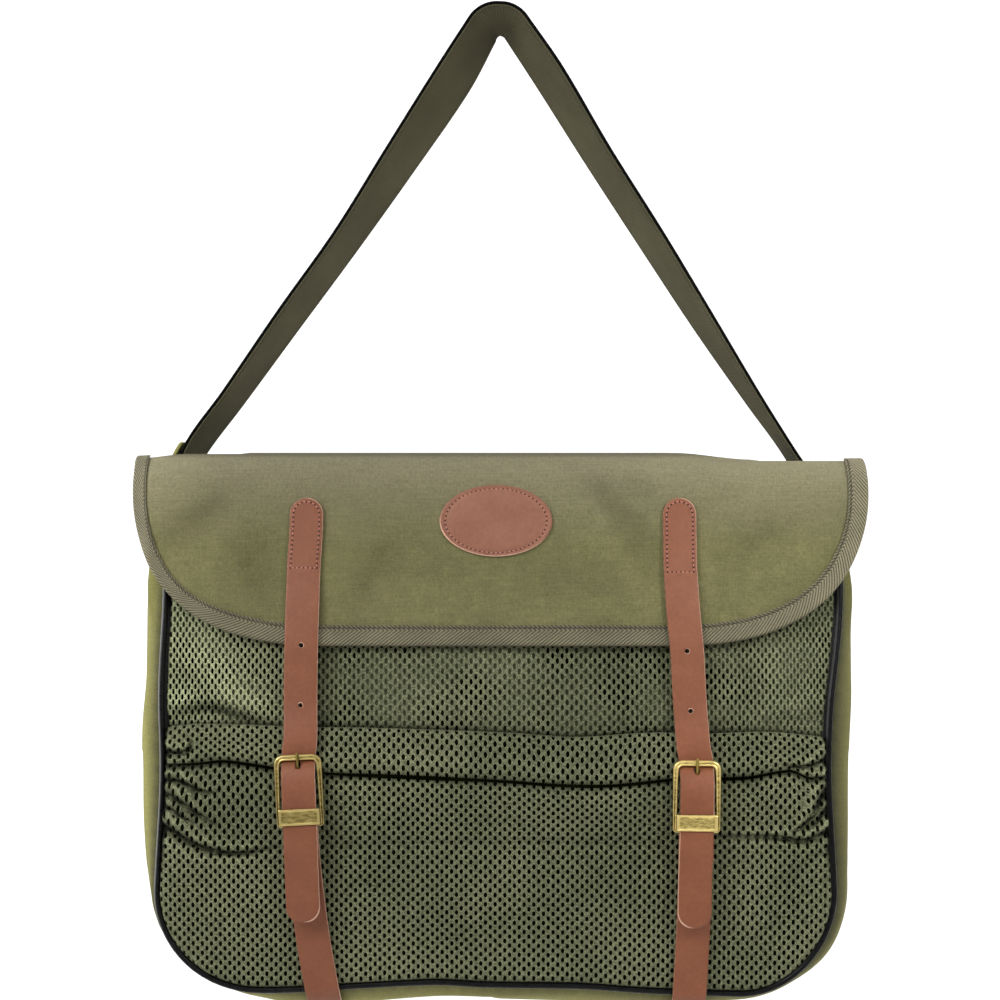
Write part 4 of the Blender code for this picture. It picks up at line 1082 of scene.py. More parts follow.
def net_cells(clip, low, high, mesh):
    """Net over a stretch of cloth from low to high corner, as places on the cloth and faces.

    clip(a, b) moves places outside the panel onto its outline. Each hole has eight sides, a
    wall and a floor, and four corners that it shares with its neighbours.
    """
    half_a = sizes().net_across / 2 * mesh.stretch_x
    half_b = sizes().net_down / 2 * mesh.stretch_z
    i0, i1 = int(math.floor(low[0] / half_a)), int(math.ceil(high[0] / half_a))
    j0, j1 = int(math.floor(low[1] / half_b)), int(math.ceil(high[1] / half_b))
    i, j = np.meshgrid(np.arange(i0, i1 + 1), np.arange(j0, j1 + 1))
    centre = (i + j) % 2 == 0
    inner = (i > i0) & (i < i1) & (j > j0) & (j < j1)
    ci, cj = i[centre & inner], j[centre & inner]
    around = ((1, 0), (0, 1), (-1, 0), (0, -1))
    inside = np.zeros(len(ci), bool)
    for di, dj in ((0, 0),) + around:
        a, b = gathered(mesh, (ci + di) * half_a), (cj + dj) * half_b
        held_a, held_b = clip(a, b)
        inside |= (np.abs(held_a - a) < 1e-7) & (np.abs(held_b - b) < 1e-7)
    ci, cj = ci[inside], cj[inside]
    count = len(ci)
    width = i1 - i0 + 1
    keys = np.stack([(ci + di - i0) + (cj + dj - j0) * width for di, dj in around], axis=1)
    corners, slots = np.unique(keys, return_inverse=True)
    slots = slots.reshape(-1, 4)
    corner_a = gathered(mesh, (corners % width + i0) * half_a)
    corner_b = (corners // width + j0) * half_b
    angle = np.arange(8) * math.pi / 4
    middle_a, middle_b = gathered(mesh, ci * half_a)[:, None], (cj * half_b)[:, None]
    tight = 1 - 2 * mesh.gather * (middle_a / HALF_WIDTH) ** 2
    across, down = tight * mesh.hole_x * np.cos(angle), mesh.hole_z * np.sin(angle)
    rim = (middle_a + across).ravel(), (middle_b + down).ravel()
    bottom = (middle_a + PIT_SHARE * across).ravel(), (middle_b + PIT_SHARE * down).ravel()
    points, depth = [], []
    # dark is kept on each point: full at the pit floors, painted shade down in the holes.
    for (a, b), out, dark in (((corner_a, corner_b), NET_FRONT - 0.0003, 0.3),
                              (rim, NET_FRONT - 0.0001, 0.0), (bottom, PIT_FLOOR, 1.0),
                              ((corner_a, corner_b), NET_BACK, 0.3)):
        points.append(stack(*clip(a, b), out))
        depth.append(np.full(len(a), dark))
    starts = np.cumsum([0] + [len(p) for p in points])
    around_hole = np.arange(count)[:, None] * 8 + np.arange(8)
    rim, floor, back = starts[1] + around_hole, starts[2] + around_hole, starts[3] + slots
    tops = []
    for q in range(4):
        first, second = slots[:, q], slots[:, (q + 1) % 4]
        before, middle, after = rim[:, 2 * q], rim[:, 2 * q + 1], rim[:, (2 * q + 2) % 8]
        tops += [np.stack(corners, 1) for corners in (
            (first, middle, second), (first, before, middle), (second, middle, after))]
    tops = chain(*tops)
    walls = np.stack([rim, floor, np.roll(floor, -1, axis=1), np.roll(rim, -1, axis=1)],
                     axis=2).reshape(-1, 4)
    outline = open_edges(slots[:, ::-1])
    skirt = np.concatenate([outline[:, ::-1], outline + starts[3]], axis=1)
    faces = [face for lot in (tops, walls, floor[:, ::-1], back, skirt) for face in lot.tolist()]
    finish_of = np.zeros(len(faces), int)
    first_floor = len(tops) + len(walls)
    finish_of[first_floor:first_floor + count] = 1
    return chain(*points), chain(*depth), finish_of, faces


def plain_net(high, low):
    """Net that nobody sees, without its holes."""
    u, down = np.meshgrid(np.linspace(-1, 1, 41), np.linspace(-high, -low, 24))
    x = u * half_width(-down, SEAM_INSET) + lean(-down)
    front, back = [stack(x, down, out).reshape(-1, 3) for out in (NET_FRONT - 0.0004, NET_BACK)]
    points, faces = closed(front, back, grid_faces(*x.shape))
    return points, np.zeros(len(points)), np.zeros(len(faces), int), faces.tolist()


def laid_net(name, looks, parts, place, guide, shade, light, fine=None):
    """A piece from lots of net, laid on its surface, its face made finer where fine(a, b).

    Before it is laid a point's place holds its place on the cloth and how far it stands out.
    """
    starts = np.cumsum([0] + [len(part[0]) for part in parts])
    faces = [[v + start for v in face] for part, start in zip(parts, starts) for face in part[3]]
    points, dark, finish_of = [chain(*lots) for lots in list(zip(*parts))[:3]]
    obj = new_mesh(name, points, faces, looks, points[:, :2], dark, finish_of)
    if fine:
        wanted = fine(points[:, 0], points[:, 1]) & (points[:, 2] > NET_FRONT - 0.0004)
        with opened(obj) as bm:
            edges = [e for e in bm.edges if wanted[e.verts[0].index] and wanted[e.verts[1].index]]
            bmesh.ops.subdivide_edges(bm, edges=edges, cuts=1, use_grid_fill=True)
    a, b, out = points_of(obj).T
    dark = np.empty(len(a))
    worn = obj.data.attributes["edge"].data
    worn.foreach_get("value", dark)
    # The kept edge value takes the painted shade of shade(a, b), and roll the painted highlight of
    # light(a, b).
    worn.foreach_set("value", np.maximum(dark, shade(a, b)))
    keep_value(obj.data, "roll", light(a, b))
    put_points(obj, skin(guide, a, b, out) + place(a, b) - guide(a, b))
    settle(obj)
    return obj


def edge_shade(x, z, push):
    """Painted shade on the net beside its side seams, where it turns in behind the piping."""
    gap = seam_gap(x, z) - SEAM_INSET + 0.35 * push
    return 0.98 * (1 - ease(0.0014, 0.003, gap)) * ease(-0.535, -0.5, z)


def in_fold(push):
    """Painted shade in a soft fold."""
    return np.clip(-push / 0.004, 0, 1) ** 1.2


def groove(gap, width, depth):
    """How far cloth turns in towards a seam that lies gap metres away."""
    return depth * (1 - ease(0.0, width, gap)) ** 1.5


def net_guide(x, down):
    """Middle of the front net without its folds; down is the distance below the origin."""
    z = -down
    tucked = 0.0014 * (1 - ease(0.0, 0.014, z - chart(HEM_ROWS, x)))
    gap = seam_gap(x, z) - SEAM_INSET
    hidden = 0.0045 * ease(-0.452, -0.466, z) * ease(0.001, 0.012, gap)
    return stack(x, net_y(x, z) + groove(gap, 0.0045, 0.0026) + tucked + hidden, z)


def net_place(x, down):
    push = valleys(NET_FOLDS, x, -down) + soft_waves(x, -down, 0.0006)
    return net_guide(x, down) - stack(0.0, push, 0.0)


def net_shade(x, down):
    # Painted shade: a shadow under the flap, a dark line above the pocket's hem, the soft folds and the
    # edges beside the seams.
    below_flap = 0.3 * (1 - ease(0.0, 0.012, FLAP_BOTTOM_Z + down + 0.004)) * (np.abs(x) < 0.14)
    at_hem = 0.9 * hump(np.maximum(-down - chart(HEM_ROWS, x), 0), 0, 0.003)
    push = valleys(NET_FOLDS, x, -down)
    return np.maximum.reduce([at_hem, below_flap, in_fold(push), edge_shade(x, -down, push)])


def net_light(x, down):
    # Painted highlight on the rolls beside the soft folds.
    return np.clip(valleys(NET_FOLDS, x, -down) / 0.0008, 0, 1)


class BAG_OT_front_net(bpy.types.Operator):
    """Make the upper front panel of the bag in net"""
    bl_idname = "bag.front_net"
    bl_label = "Front net"

    def execute(self, context):
        def clip(x, down):
            x, z = hold_inside(x, -down)
            return x, np.clip(-z, -NET_SHOWN_TOP, -NET_SHOWN_LOW)

        shown = net_cells(clip, (-0.25, -NET_SHOWN_TOP - 0.006), (0.25, -NET_SHOWN_LOW + 0.006),
                          UPPER_MESH)
        parts = [shown, plain_net(MOUTH_Z, NET_SHOWN_TOP),
                 plain_net(NET_SHOWN_LOW, BOTTOM_Z + SEAM_INSET)]
        obj = laid_net("front_netting", "upper_net net_hole_open", parts, net_place, net_guide,
                       net_shade, net_light)
        fasten(obj, "net", "front_net")
        return {"FINISHED"}


# Pocket

POCKET_PATH = fine_path(POCKET_ROWS, 24)
POCKET_RUNS = runs_of(POCKET_PATH)
POCKET_EDGE = int(np.argmin(POCKET_PATH[:, 0]))


def pocket_at(run):
    """Drop and proud of the pocket's net at a distance along it."""
    return [np.interp(run, POCKET_RUNS, values) for values in POCKET_PATH.T]


def pocket_run(drop):
    """Distance along the net to where its outer face has come down by drop."""
    return np.interp(drop, POCKET_PATH[POCKET_EDGE:, 0], POCKET_RUNS[POCKET_EDGE:])


def past_edge(run):
    return ease(0.0005, 0.006, run - POCKET_RUNS[POCKET_EDGE])


def strap_press(x):
    return hump(np.abs(x), STRAP_PRESS_X, STRAP_PRESS_HALF)


def tuck_shift(x):
    return chart(TUCK_ROWS, x) - (HEM_Z - TUCK_DROP)


def pocket_z(x, drop):
    """Height of the net at a drop below the nominal hem, with its uneven lines."""
    hem = (chart(HEM_ROWS, x) - HEM_Z) * (1 - ease(0.002, TUCK_DROP, drop))
    tuck = tuck_shift(x) * ease(0.002, TUCK_DROP, drop) * (1 - ease(TUCK_DROP, SEAM_DROP, drop))
    return HEM_Z - drop + hem + tuck


def pocket_guide(x, run):
    """Middle of the pocket's net without its folds."""
    drop, proud = pocket_at(run)
    z = pocket_z(x, drop)
    gap = seam_gap(x, z) - SEAM_INSET
    proud = proud * mix(0.45, 1.0, ease(0.0, 0.012, gap)) * (1 - STRAP_PRESS * strap_press(x))
    room = mix(POCKET_GAP, GAP, ease(CORNER_Z, BOTTOM_Z + 0.01, z))
    inward = groove(gap, 0.004, 0.0022) * past_edge(run)
    return stack(x, net_y(x, z) - NET - room - proud + inward, z)


def pocket_folds(x, run):
    """Push, darkness, draw and light of the pocket's folds, and the height that they lie at."""
    z = pocket_z(x, pocket_at(run)[0])
    push, dark, drawn, light = creases(POCKET_CREASES, x, z)
    return push + valleys(POCKET_FOLDS, x, z), dark, drawn, light, z


def pocket_place(x, run):
    push, _, drawn, _, _ = pocket_folds(x, run)
    push = push + soft_waves(x, -run, 0.0005)
    middle = pocket_run(0.045)
    push = push + (0.0022 * ease(-0.15, -0.185, x) * hump(run, middle, 0.022) + 0.0018
                   * ease(0.15, 0.18, x) * hump(run, middle, 0.018))
    push = np.where(push > 0, push * (1 - strap_press(x)), push)
    return pocket_guide(x, run) + stack(0.0, -push, drawn) * past_edge(run)[..., None]


def pocket_shade(x, run):
    drop, proud = pocket_at(run)
    # Painted shade in the tuck, in the creases and folds and beside the side seams.
    in_tuck = ease(0.0036, 0.0008, proud) * (drop > 0.021) * (drop < 0.031)
    push, dark, _, _, z = pocket_folds(x, run)
    return np.maximum.reduce([0.9 * in_tuck, 0.97 * dark, 0.6 * in_fold(push), edge_shade(x, z, push)])


def pocket_light(x, run):
    """Painted highlight on the rolls beside the gathers and on the one above the tuck."""
    return np.maximum(pocket_folds(x, run)[3], 0.35 * hump(pocket_at(run)[0], 0.016, 0.004))


def pocket_fine(x, run):
    """Where the gathers need a finer mesh."""
    drop = pocket_at(run)[0]
    return ((x < -0.15) | (x > 0.16)) & (drop > 0.002) & (drop < 0.078)


class BAG_OT_net_pocket(bpy.types.Operator):
    """Make the net pocket with its tuck, folds and gathers"""
    bl_idname = "bag.net_pocket"
    bl_label = "Net pocket"

    def execute(self, context):
        last = float(pocket_run(HEM_Z - BOTTOM_Z - SEAM_INSET))

        def clip(x, run):
            run = np.clip(run, 0.0, last)
            drop = pocket_at(run)[0]
            z = pocket_z(x, drop)
            held_x, held_z = hold_inside(x, z)
            moved = pocket_run(drop - (held_z - z))
            return held_x, np.where(np.abs(held_z - z) > 1e-9, moved, run)

        part = net_cells(clip, (-0.22, -0.006), (0.22, last + 0.006), POCKET_MESH)
        obj = laid_net("pocket_netting", "net net_hole", [part], pocket_place, pocket_guide,
                       pocket_shade, pocket_light, pocket_fine)
        fasten(obj, "net", "net_pocket")
        self.inner_folds()
        return {"FINISHED"}

    def inner_folds(self):
        """Net that is folded in behind the tuck, painted nearly black as the shade in the crease."""
        x = np.linspace(-0.1975, 0.1935, 160)[:, None]
        thick = mix(1.0, 0.8, ease(0.05, 0.12, x))
        level = HEM_Z - TUCK_DROP - 0.0015 + tuck_shift(x)
        z = level + thick * np.array([-0.0024, 0.0, 0.0018])
        front = pocket_guide(x + 0 * z, pocket_run(TUCK_DROP + 0.006) + 0 * z)
        front[..., 1] += 0.001
        front[..., 2] = z
        back = front + stack(0.0, 0.0004, 0.0)
        fasten(two_sided("pocket_inner_folds", front, back, "net_hole", edge=1.0), "net")


# Back and gusset

def back_place(u, down):
    z = -down
    x = u * half_width(z, SEAM_INSET) + lean(z)
    slack = ease(0.0, 0.05, seam_gap(x, z) - SEAM_INSET) * ease(-0.315, -0.36, z)
    return stack(x, BACK_Y + soft_waves(x * 0.8, z * 0.8, 0.0022) * slack + 0.0006 * slack, z)


class BAG_OT_back_panel(bpy.types.Operator):
    """Make the canvas back panel"""
    bl_idname = "bag.back_panel"
    bl_label = "Back panel"

    def execute(self, context):
        turn = np.linspace(0, math.pi / 2, 24)
        low = -CORNER_Z + (CORNER_RADIUS - SEAM_INSET) * np.sin(turn)
        down = chain(edged(-MOUTH_Z, -CORNER_Z, 60)[:-3], low)
        across = chain([-1, -0.997, -0.99], np.linspace(-0.97, 0.97, 100), [0.99, 0.997, 1])
        u, down = np.meshgrid(across, down)
        x = u * half_width(-down, SEAM_INSET) + lean(-down)
        inset = np.minimum(seam_gap(x, -down) - SEAM_INSET, down + MOUTH_Z)
        obj = slab("back_canvas", lambda out: skin(back_place, u, down, -out, 0.002), CANVAS, "canvas",
                   inset, stack(u * HALF_WIDTH, down))
        settle(obj)
        fasten(obj, "canvas", "back_panel")
        return {"FINISHED"}


def tab_line(side, z):
    return side.mid_x - side.mid_curl * np.maximum(z + 0.4, 0) ** 3


def side_gusset(side, w, distance):
    """Middle of the gusset's cloth on one side; w runs from the front seam to the back one."""
    x, z, out_x, out_z = seam_at(distance)
    beside = PIPING_RADIUS - PIPING_PROUD + GAP + 0.0002
    y = mix(front_y(z) + beside, BACK_Y - beside, w)
    crown = 1 - np.abs(2 * w - 1) ** 2.4
    bulge = chart(BULGE_ROWS, np.abs(distance), "run", side.name)
    low = stack(x + out_x * bulge * crown, y, z + out_z * bulge * crown)
    flat = ease(0.08, 0.19, w) * (1 - ease(0.775, 0.9, w))
    rise = ease(0.12, 0.27, w) * (1 - ease(0.72, 0.88, w))
    tab_z = z + (side.tab_z - MOUTH_Z) * rise * ease(TAB_START_Z, MOUTH_Z, z)
    reach = mix(np.abs(x) + SIDE_BULGE, tab_line(side, tab_z), ease(-0.45, -0.4, z))
    spread = mix(crown, np.maximum(crown, flat), ease(TAB_SPREAD_Z, TAB_START_Z, z))
    slope = 3 * side.mid_curl * np.maximum(tab_z + 0.4, 0) ** 2
    tilt = np.tan(np.radians(strap_twist(side, tab_z))) * np.hypot(1, slope)
    tilt = tilt * flat * (STRAP_MID_Y - y)
    high = stack(side.sign * (mix(np.abs(x), reach, spread) + tilt), y, tab_z)
    return np.where((z < -0.45)[..., None], low, high)


def gusset_place(w, distance):
    left, right = [side_gusset(side, w, distance) for side in SIDES]
    point = np.where((distance < 0)[..., None], left, right)
    puckers = np.sin(distance * 2 * math.pi / 0.0115 + 2 * np.sin(distance * 31))
    seams = (hump(w, 0, 0.1) + hump(w, 1, 0.1)) * ease(0, 0.02, w) * ease(1, 0.98, w)
    furrows = np.sin(w * 17 + 3 * np.sin(distance * 14)) * ease(0.04, 0.16, w) * ease(0.96, 0.84, w)
    amount = 0.0005 * puckers * seams + 0.0006 * furrows
    amount = amount * (1 - ease(HALF_RUN - 0.055, HALF_RUN - 0.025, np.abs(distance)))
    _, _, out_x, out_z = seam_at(distance)
    return point + stack(out_x, 0.0, out_z) * amount[..., None]


class BAG_OT_gusset(bpy.types.Operator):
    """Make the canvas strip round the sides and bottom, with its strap tabs"""
    bl_idname = "bag.gusset"
    bl_label = "Gusset"

    def execute(self, context):
        across = chain([0, 0.006, 0.02], np.linspace(0.04, 0.96, 44), [0.98, 0.994, 1])
        w, run = np.meshgrid(across, edged(-HALF_RUN, HALF_RUN, 420))
        inset = np.minimum(np.minimum(w, 1 - w) * GUSSET_DEPTH, HALF_RUN - np.abs(run))
        obj = slab("gusset_canvas", lambda out: skin(gusset_place, w, run, -out, 0.003), CANVAS,
                   "gusset", inset, stack(w * GUSSET_CLOTH, run))
        settle(obj)
        fasten(obj, "canvas", "gusset")
        return {"FINISHED"}


class BAG_OT_piping(bpy.types.Operator):
    """Make the round piping in both seams, with its flange"""
    bl_idname = "bag.piping"
    bl_label = "Piping"

    def execute(self, context):
        runs = np.linspace(-HALF_RUN, HALF_RUN, 420)
        x, z, out_x, out_z = seam_at(runs)
        reach = np.array([0.0012, 0.0022, 0.003, 0.0038])
        depth = np.array([0.0004, 0.0011, 0.0013, 0.0016])
        for name, y, side in (("front", front_y(z) - PIPING_PROUD, 1),
                              ("back", BACK_Y + PIPING_PROUD, -1)):
            path = stack(x, y, z)
            cord = tube("piping_cord_" + name, path, PIPING_RADIUS, "piping", 14, 0.03, 0.006)
            settle(cord)
            fasten(cord, "piping", "piping_" + name)
            # The flange lies in sight, where the real one is hidden in the seam: its black stands in
            # for painted shade in the groove beside the cord.
            rows = path[:, None] - stack(out_x, 0.0, out_z)[:, None] * reach[:, None]
            rows[..., 1] += depth * side
            flange = two_sided("piping_flange_" + name, rows, rows + stack(0, 0.0005 * side, 0),
                               "piping", stack(reach, runs[:, None]))
            face_out(flange)
            settle(flange)
            fasten(flange, "piping")
        return {"FINISHED"}


# Flap

FLAP_POINTS = fine_path(FLAP_ROWS, 40)
FLAP_RUNS = runs_of(FLAP_POINTS)
FLAP_SLOPES = unit(np.gradient(FLAP_POINTS, axis=0))


def flap_run(wanted, axis, start=0.0):
    """Distance along the profile where y (axis 0) or z (axis 1) falls to a value."""
    reached = (FLAP_RUNS >= start) & (FLAP_POINTS[:, axis] <= wanted)
    return float(FLAP_RUNS[np.argmax(reached)])


WING_RUN = flap_run(WING_TOP_Y, 0)
FRONT_RUN = flap_run(FLAP_CORNER_TOP_Z, 1, WING_RUN)


def flap_run_at(z):
    start = np.argmax(FLAP_RUNS >= WING_RUN)
    return np.interp(-np.asarray(z), -FLAP_POINTS[start:, 1], FLAP_RUNS[start:])


def droop(x):
    return -0.0042 * ease(0.105, 0.155, x) - 0.0025 * ease(-0.19, -0.22, x)


def flap_belly(x, run):
    """How far the flap's front draws back towards its sides."""
    front = ease(FRONT_RUN, FRONT_RUN + 0.05, run)
    return FRONT_BELLY * FLAP_BELLY_SHARE * (x / FLAP_EDGE_HALF) ** 2 * front


def flap_at(x, run, out=0.0):
    """Point of the flap's cloth, out metres in front of its middle."""
    x, run = np.broadcast_arrays(np.asarray(x, float), np.asarray(run, float))
    run = np.clip(run, 0, FLAP_RUNS[-1])
    y, z = [np.interp(run, FLAP_RUNS, values) for values in FLAP_POINTS.T]
    slope_y, slope_z = [np.interp(run, FLAP_RUNS, values) for values in FLAP_SLOPES.T]
    y = y + flap_belly(x, run)
    z = z + droop(x) * (1 - ease(FRONT_RUN, FRONT_RUN + 0.05, run)) * ease(0.01, 0.05, run)
    relief = valleys(FLAP_FOLDS, x, z) + soft_waves(x, z, 0.0004) - 0.0001
    relief = np.minimum(relief, 0.00025) * ease(FRONT_RUN - 0.014, FRONT_RUN + 0.02, run)
    push = np.asarray(out) + relief
    turned = TURNED_BACK * ease(0.21, FLAP_EDGE_HALF, -x) * ease(WING_RUN, WING_RUN + 0.02, run)
    return stack(x, y + turned + push * slope_z, z - push * slope_y)


def flap_line(x, run, out):
    """Line on the flap's cloth, out metres in front of its middle, with the way out of it."""
    path = flap_at(x, run, out)
    return path, unit(flap_at(x, run, out + 0.002) - path)


def flap_corner(angle):
    power = 2 / FLAP_CORNER_POWER
    reach = (FLAP_EDGE_HALF - FLAP_STRAIGHT_HALF) * np.maximum(np.cos(angle), 0) ** power
    depth = (FLAP_CORNER_TOP_Z - FLAP_BOTTOM_Z) * np.maximum(np.sin(angle), 0) ** power
    return FLAP_STRAIGHT_HALF + reach, flap_run_at(FLAP_CORNER_TOP_Z - depth)


def mirrored(half, sign=1):
    return chain(sign * half[:0:-1], half)


def flap_outline(steps=70):
    """Edge of the flap as x, run and the direction inwards, from the left wing to the right."""
    x, run = flap_corner(np.linspace(math.pi / 2, math.radians(1.5), steps))
    level = np.linspace(0, FLAP_STRAIGHT_HALF, 34)[:-1]
    wing = np.linspace(run[-1], WING_RUN, 14)[1:]
    xs = mirrored(chain(level, x, np.full(len(wing), FLAP_EDGE_HALF)), -1)
    runs = mirrored(chain(np.full(len(level), run[0]), run, wing))
    along = unit(stack(np.gradient(xs), np.gradient(runs)))
    return xs, runs, along[:, 1], -along[:, 0]


class BAG_OT_flap(bpy.types.Operator):
    """Make the canvas flap, folded over the mouth"""
    bl_idname = "bag.flap"
    bl_label = "Flap"

    def execute(self, context):
        angles = chain(np.radians([0.6, 1.6]), np.linspace(math.radians(3), math.pi / 2, 34))
        corner_x, corner_run = flap_corner(angles[::-1])
        straight = np.linspace(0, FLAP_STRAIGHT_HALF, 40)[:-1]
        xs = mirrored(chain(straight, corner_x), -1)
        ends = mirrored(chain(np.full(len(straight), corner_run[0]), corner_run))
        top = chain(np.linspace(0, WING_RUN, 34), np.linspace(WING_RUN, FRONT_RUN, 14)[1:])
        shares = chain(np.linspace(0, 0.99, 62)[1:], [0.996, 1.0])
        run = chain(top[:, None] + 0 * ends, mix(FRONT_RUN, ends, shares[:, None]))
        x = xs + 0 * run
        half = np.where(run <= WING_RUN, NECK_HALF, FLAP_EDGE_HALF)
        inset = np.minimum.reduce([half - np.abs(x), run, ends - run])
        last_back = 33

        def beside_neck(r, c):
            outer = np.minimum(np.abs(xs[c]), np.abs(xs[c + 1])) >= NECK_HALF - 0.0012
            return ~((r < last_back) & outer)

        obj = slab("flap_canvas", lambda out: flap_at(x, run, out), CANVAS, "flap",
                   np.maximum(inset, 0), stack(x, run), keep=beside_neck)
        x, y, z = points_of(obj).T
        # The fold depth is kept for painted shade in the flap's valleys and painted light on their
        # ridges.
        keep_value(obj.data, "fold", valleys(FLAP_FOLDS, x, z) * ease(-0.03, -0.042, y))
        fasten(obj, "canvas", "flap")
        return {"FINISHED"}


class BAG_OT_binding(bpy.types.Operator):
    """Make the herringbone tape folded over the flap's edge, with its stitches"""
    bl_idname = "bag.binding"
    bl_label = "Flap binding"

    def execute(self, context):
        side = CANVAS / 2 + GAP + TAPE / 2
        leaf = np.array([TAPE_WIDTH, TAPE_WIDTH - 0.0004, 0.0085, 0.0068, 0.005, 0.0032, 0.0016,
                         0.0004])
        bend = np.radians([20, 45, 70, 90, 110, 135, 160])
        inward = chain(leaf, -(GAP + TAPE) * np.sin(bend), leaf[::-1])
        level = chain(np.full(len(leaf), side), side * np.cos(bend), np.full(len(leaf), -side))
        flat, angle = np.abs(level) >= side * 0.999, np.arctan2(level, -inward)
        xs, runs, in_x, in_run = flap_outline()
        span, lay = runs_of(stack(xs, runs)), runs_of(stack(inward, level))
        sewn = hump(leaf[0] - inward, 0.0016, 0.001) * (level > 0)
        ripple = 0.00012 * np.sin(span * 2 * math.pi / 0.0031)[:, None]
        folded = ease(-0.15, -0.205, xs)

        def points(thickness):
            narrow = mix(1.0, TURNED_WIDTH, folded[:, None] * np.sign(inward).clip(0))
            depth = inward * narrow - thickness * np.where(flat, 0, np.cos(angle))
            depth = depth + ripple * (inward > TAPE_WIDTH - 0.001)
            grow = thickness * np.where(flat, np.sign(level), np.sin(angle))
            return flap_at(xs[:, None] + in_x[:, None] * depth, runs[:, None] + in_run[:, None] * depth,
                           level - 0.00025 * sewn + grow + ripple * sewn)

        obj = two_sided("flap_tape", points(TAPE / 2), points(-TAPE / 2), "tape",
                        stack(lay, span[:, None]))
        face_out(obj)
        fasten(obj, "binding_tape", "flap_binding")
        inset = (TAPE_WIDTH - 0.0017) * mix(1.0, TURNED_WIDTH, folded)
        line = xs + in_x * inset, runs + in_run * inset
        path = flap_at(*line, side + TAPE / 2 + 0.00005)
        out = unit(flap_at(*line, side + 0.002) - flap_at(*line, side))
        stitches("flap_tape_stitches", "binding_tape", [(path, out)], sizes().seam_stitch,
                 sizes().thread, "cloth_thread")
        return {"FINISHED"}


class BAG_OT_patch(bpy.types.Operator):
    """Make the oval leather patch with its stitched edge; its face is bare"""
    bl_idname = "bag.patch"
    bl_label = "Patch"

    def execute(self, context):
        middle = float(flap_run_at(PATCH_Z))
        rise = CANVAS / 2 + GAP + PATCH_THICKNESS / 2
        share = chain([0.001], np.linspace(0.12, 0.94, 24), [0.965, 0.985, 1.0])
        turn = np.linspace(0, 2 * math.pi, 97)

        def oval(t, s):
            return PATCH_HALF_WIDTH * s * np.cos(t), PATCH_HALF_HEIGHT * s * np.sin(t)

        def surface(out):
            press = 0.0006 * hump(s, 0.9, 0.04) - 0.0005 * (1 - ease(0.45, 0.88, s))
            return flap_at(PATCH_X + x, middle - up, rise + out - press * (out > 0))

        t, s = np.meshgrid(turn, share)
        x, up = oval(t, s)
        raw = mix(0.45, 1.3, ease(-0.2, 0.9, -np.sin(t) - 0.35 * np.cos(t)))
        inset = (1 - s) * PATCH_HALF_HEIGHT * 1.3
        obj = slab("leather_patch", surface, PATCH_THICKNESS, "patch", inset, stack(x, up), 0.0009,
                   0.0014, raw=raw)
        mend(obj, 0.00005)
        fasten(obj, "leather", "patch")
        around = np.linspace(0, 2 * math.pi, 181)
        x, up = oval(around, 0.9)
        line = flap_line(PATCH_X + x, middle - 0.985 * up, rise + PATCH_THICKNESS / 2 - 0.0005)
        stitches("patch_stitches", "leather", [line], sizes().stitch, sizes().leather_thread,
                 "leather_thread", LEATHER_STITCH)
        needle_holes("patch_needle_holes", "leather", [line], sizes().stitch, 0.0006, -0.00005)
        return {"FINISHED"}


# Leather straps

def rounded(distance, radius=STRAP_HALF):
    """Half width of a strap at a distance from its round end."""
    inner = np.clip(radius - distance, 0, radius)
    return STRAP_HALF - radius + np.sqrt(np.maximum(radius**2 - inner**2, 0))


def billet_at(side, z):
    """Middle of a billet: against the flap, over its binding, then through the buckle."""
    name = side.name + "_x"
    xs = chain(column(BILLET_ROWS, name), column(THROUGH_ROWS, name))
    on_flap = column(BILLET_ROWS[:-1], "z")
    run = flap_run_at(np.maximum(on_flap, FLAP_BOTTOM_Z))
    over_tape = (TAPE + 2 * GAP) * ease(-0.345, -0.366, on_flap)
    ys = np.interp(run, FLAP_RUNS, FLAP_POINTS[:, 0]) + flap_belly(xs[:len(run)], run)
    ys = ys - (CANVAS / 2 + 2 * GAP + LEATHER / 2) - over_tape
    ys = chain(ys, [ys[-1] - 0.0008], column(THROUGH_ROWS, "y"))
    zs = chain(column(BILLET_ROWS, "z"), side.bar_z + column(THROUGH_ROWS, "rise"))
    return stack(through(zs, xs, z), through(zs, ys, z), z)


def strap_piece(name, centres, tilts, widths, ends, thickness, raw):
    """A leather strap along centres, flat across, with bevelled edges and eased ends.

    raw(u, z) is how raw its edge looks.
    """
    runs = runs_of(centres)
    near = np.array([0.86, 0.92, 0.96, 0.985, 1])
    across = chain(-near[::-1], np.linspace(-0.75, 0.75, 9), near)
    index = np.arange(len(centres))

    def place(u, i):
        at = np.clip(i, 0, index[-1])
        tilt, half = np.interp(at, index, tilts), np.interp(at, index, widths)
        flat = stack(np.cos(tilt), 0, -np.sin(tilt)) * (u * half)[..., None]
        return along_line(at, index, centres) + flat

    def surface(out):
        crown = 0.00022 * (1 - np.abs(u) ** 3) * (out > 0)
        return skin(place, u, i, out + crown, 0.01, 0.5)

    u, i = np.meshgrid(across, index)
    half = widths[i]
    inset = (1 - np.abs(u)) * half
    for rounded_off, run in zip(ends, (runs[i], runs[-1] - runs[i])):
        if rounded_off:
            reach = np.hypot(u * half, np.maximum(STRAP_HALF - run, 0))
            inset = np.where(run < STRAP_HALF, np.minimum(inset, STRAP_HALF - reach), inset)
    return slab(name, surface, thickness, "leather", np.maximum(inset, 0), stack(u * half, runs[i]),
                0.0007, 0.00085, raw=raw(u, centres[i, 2]))


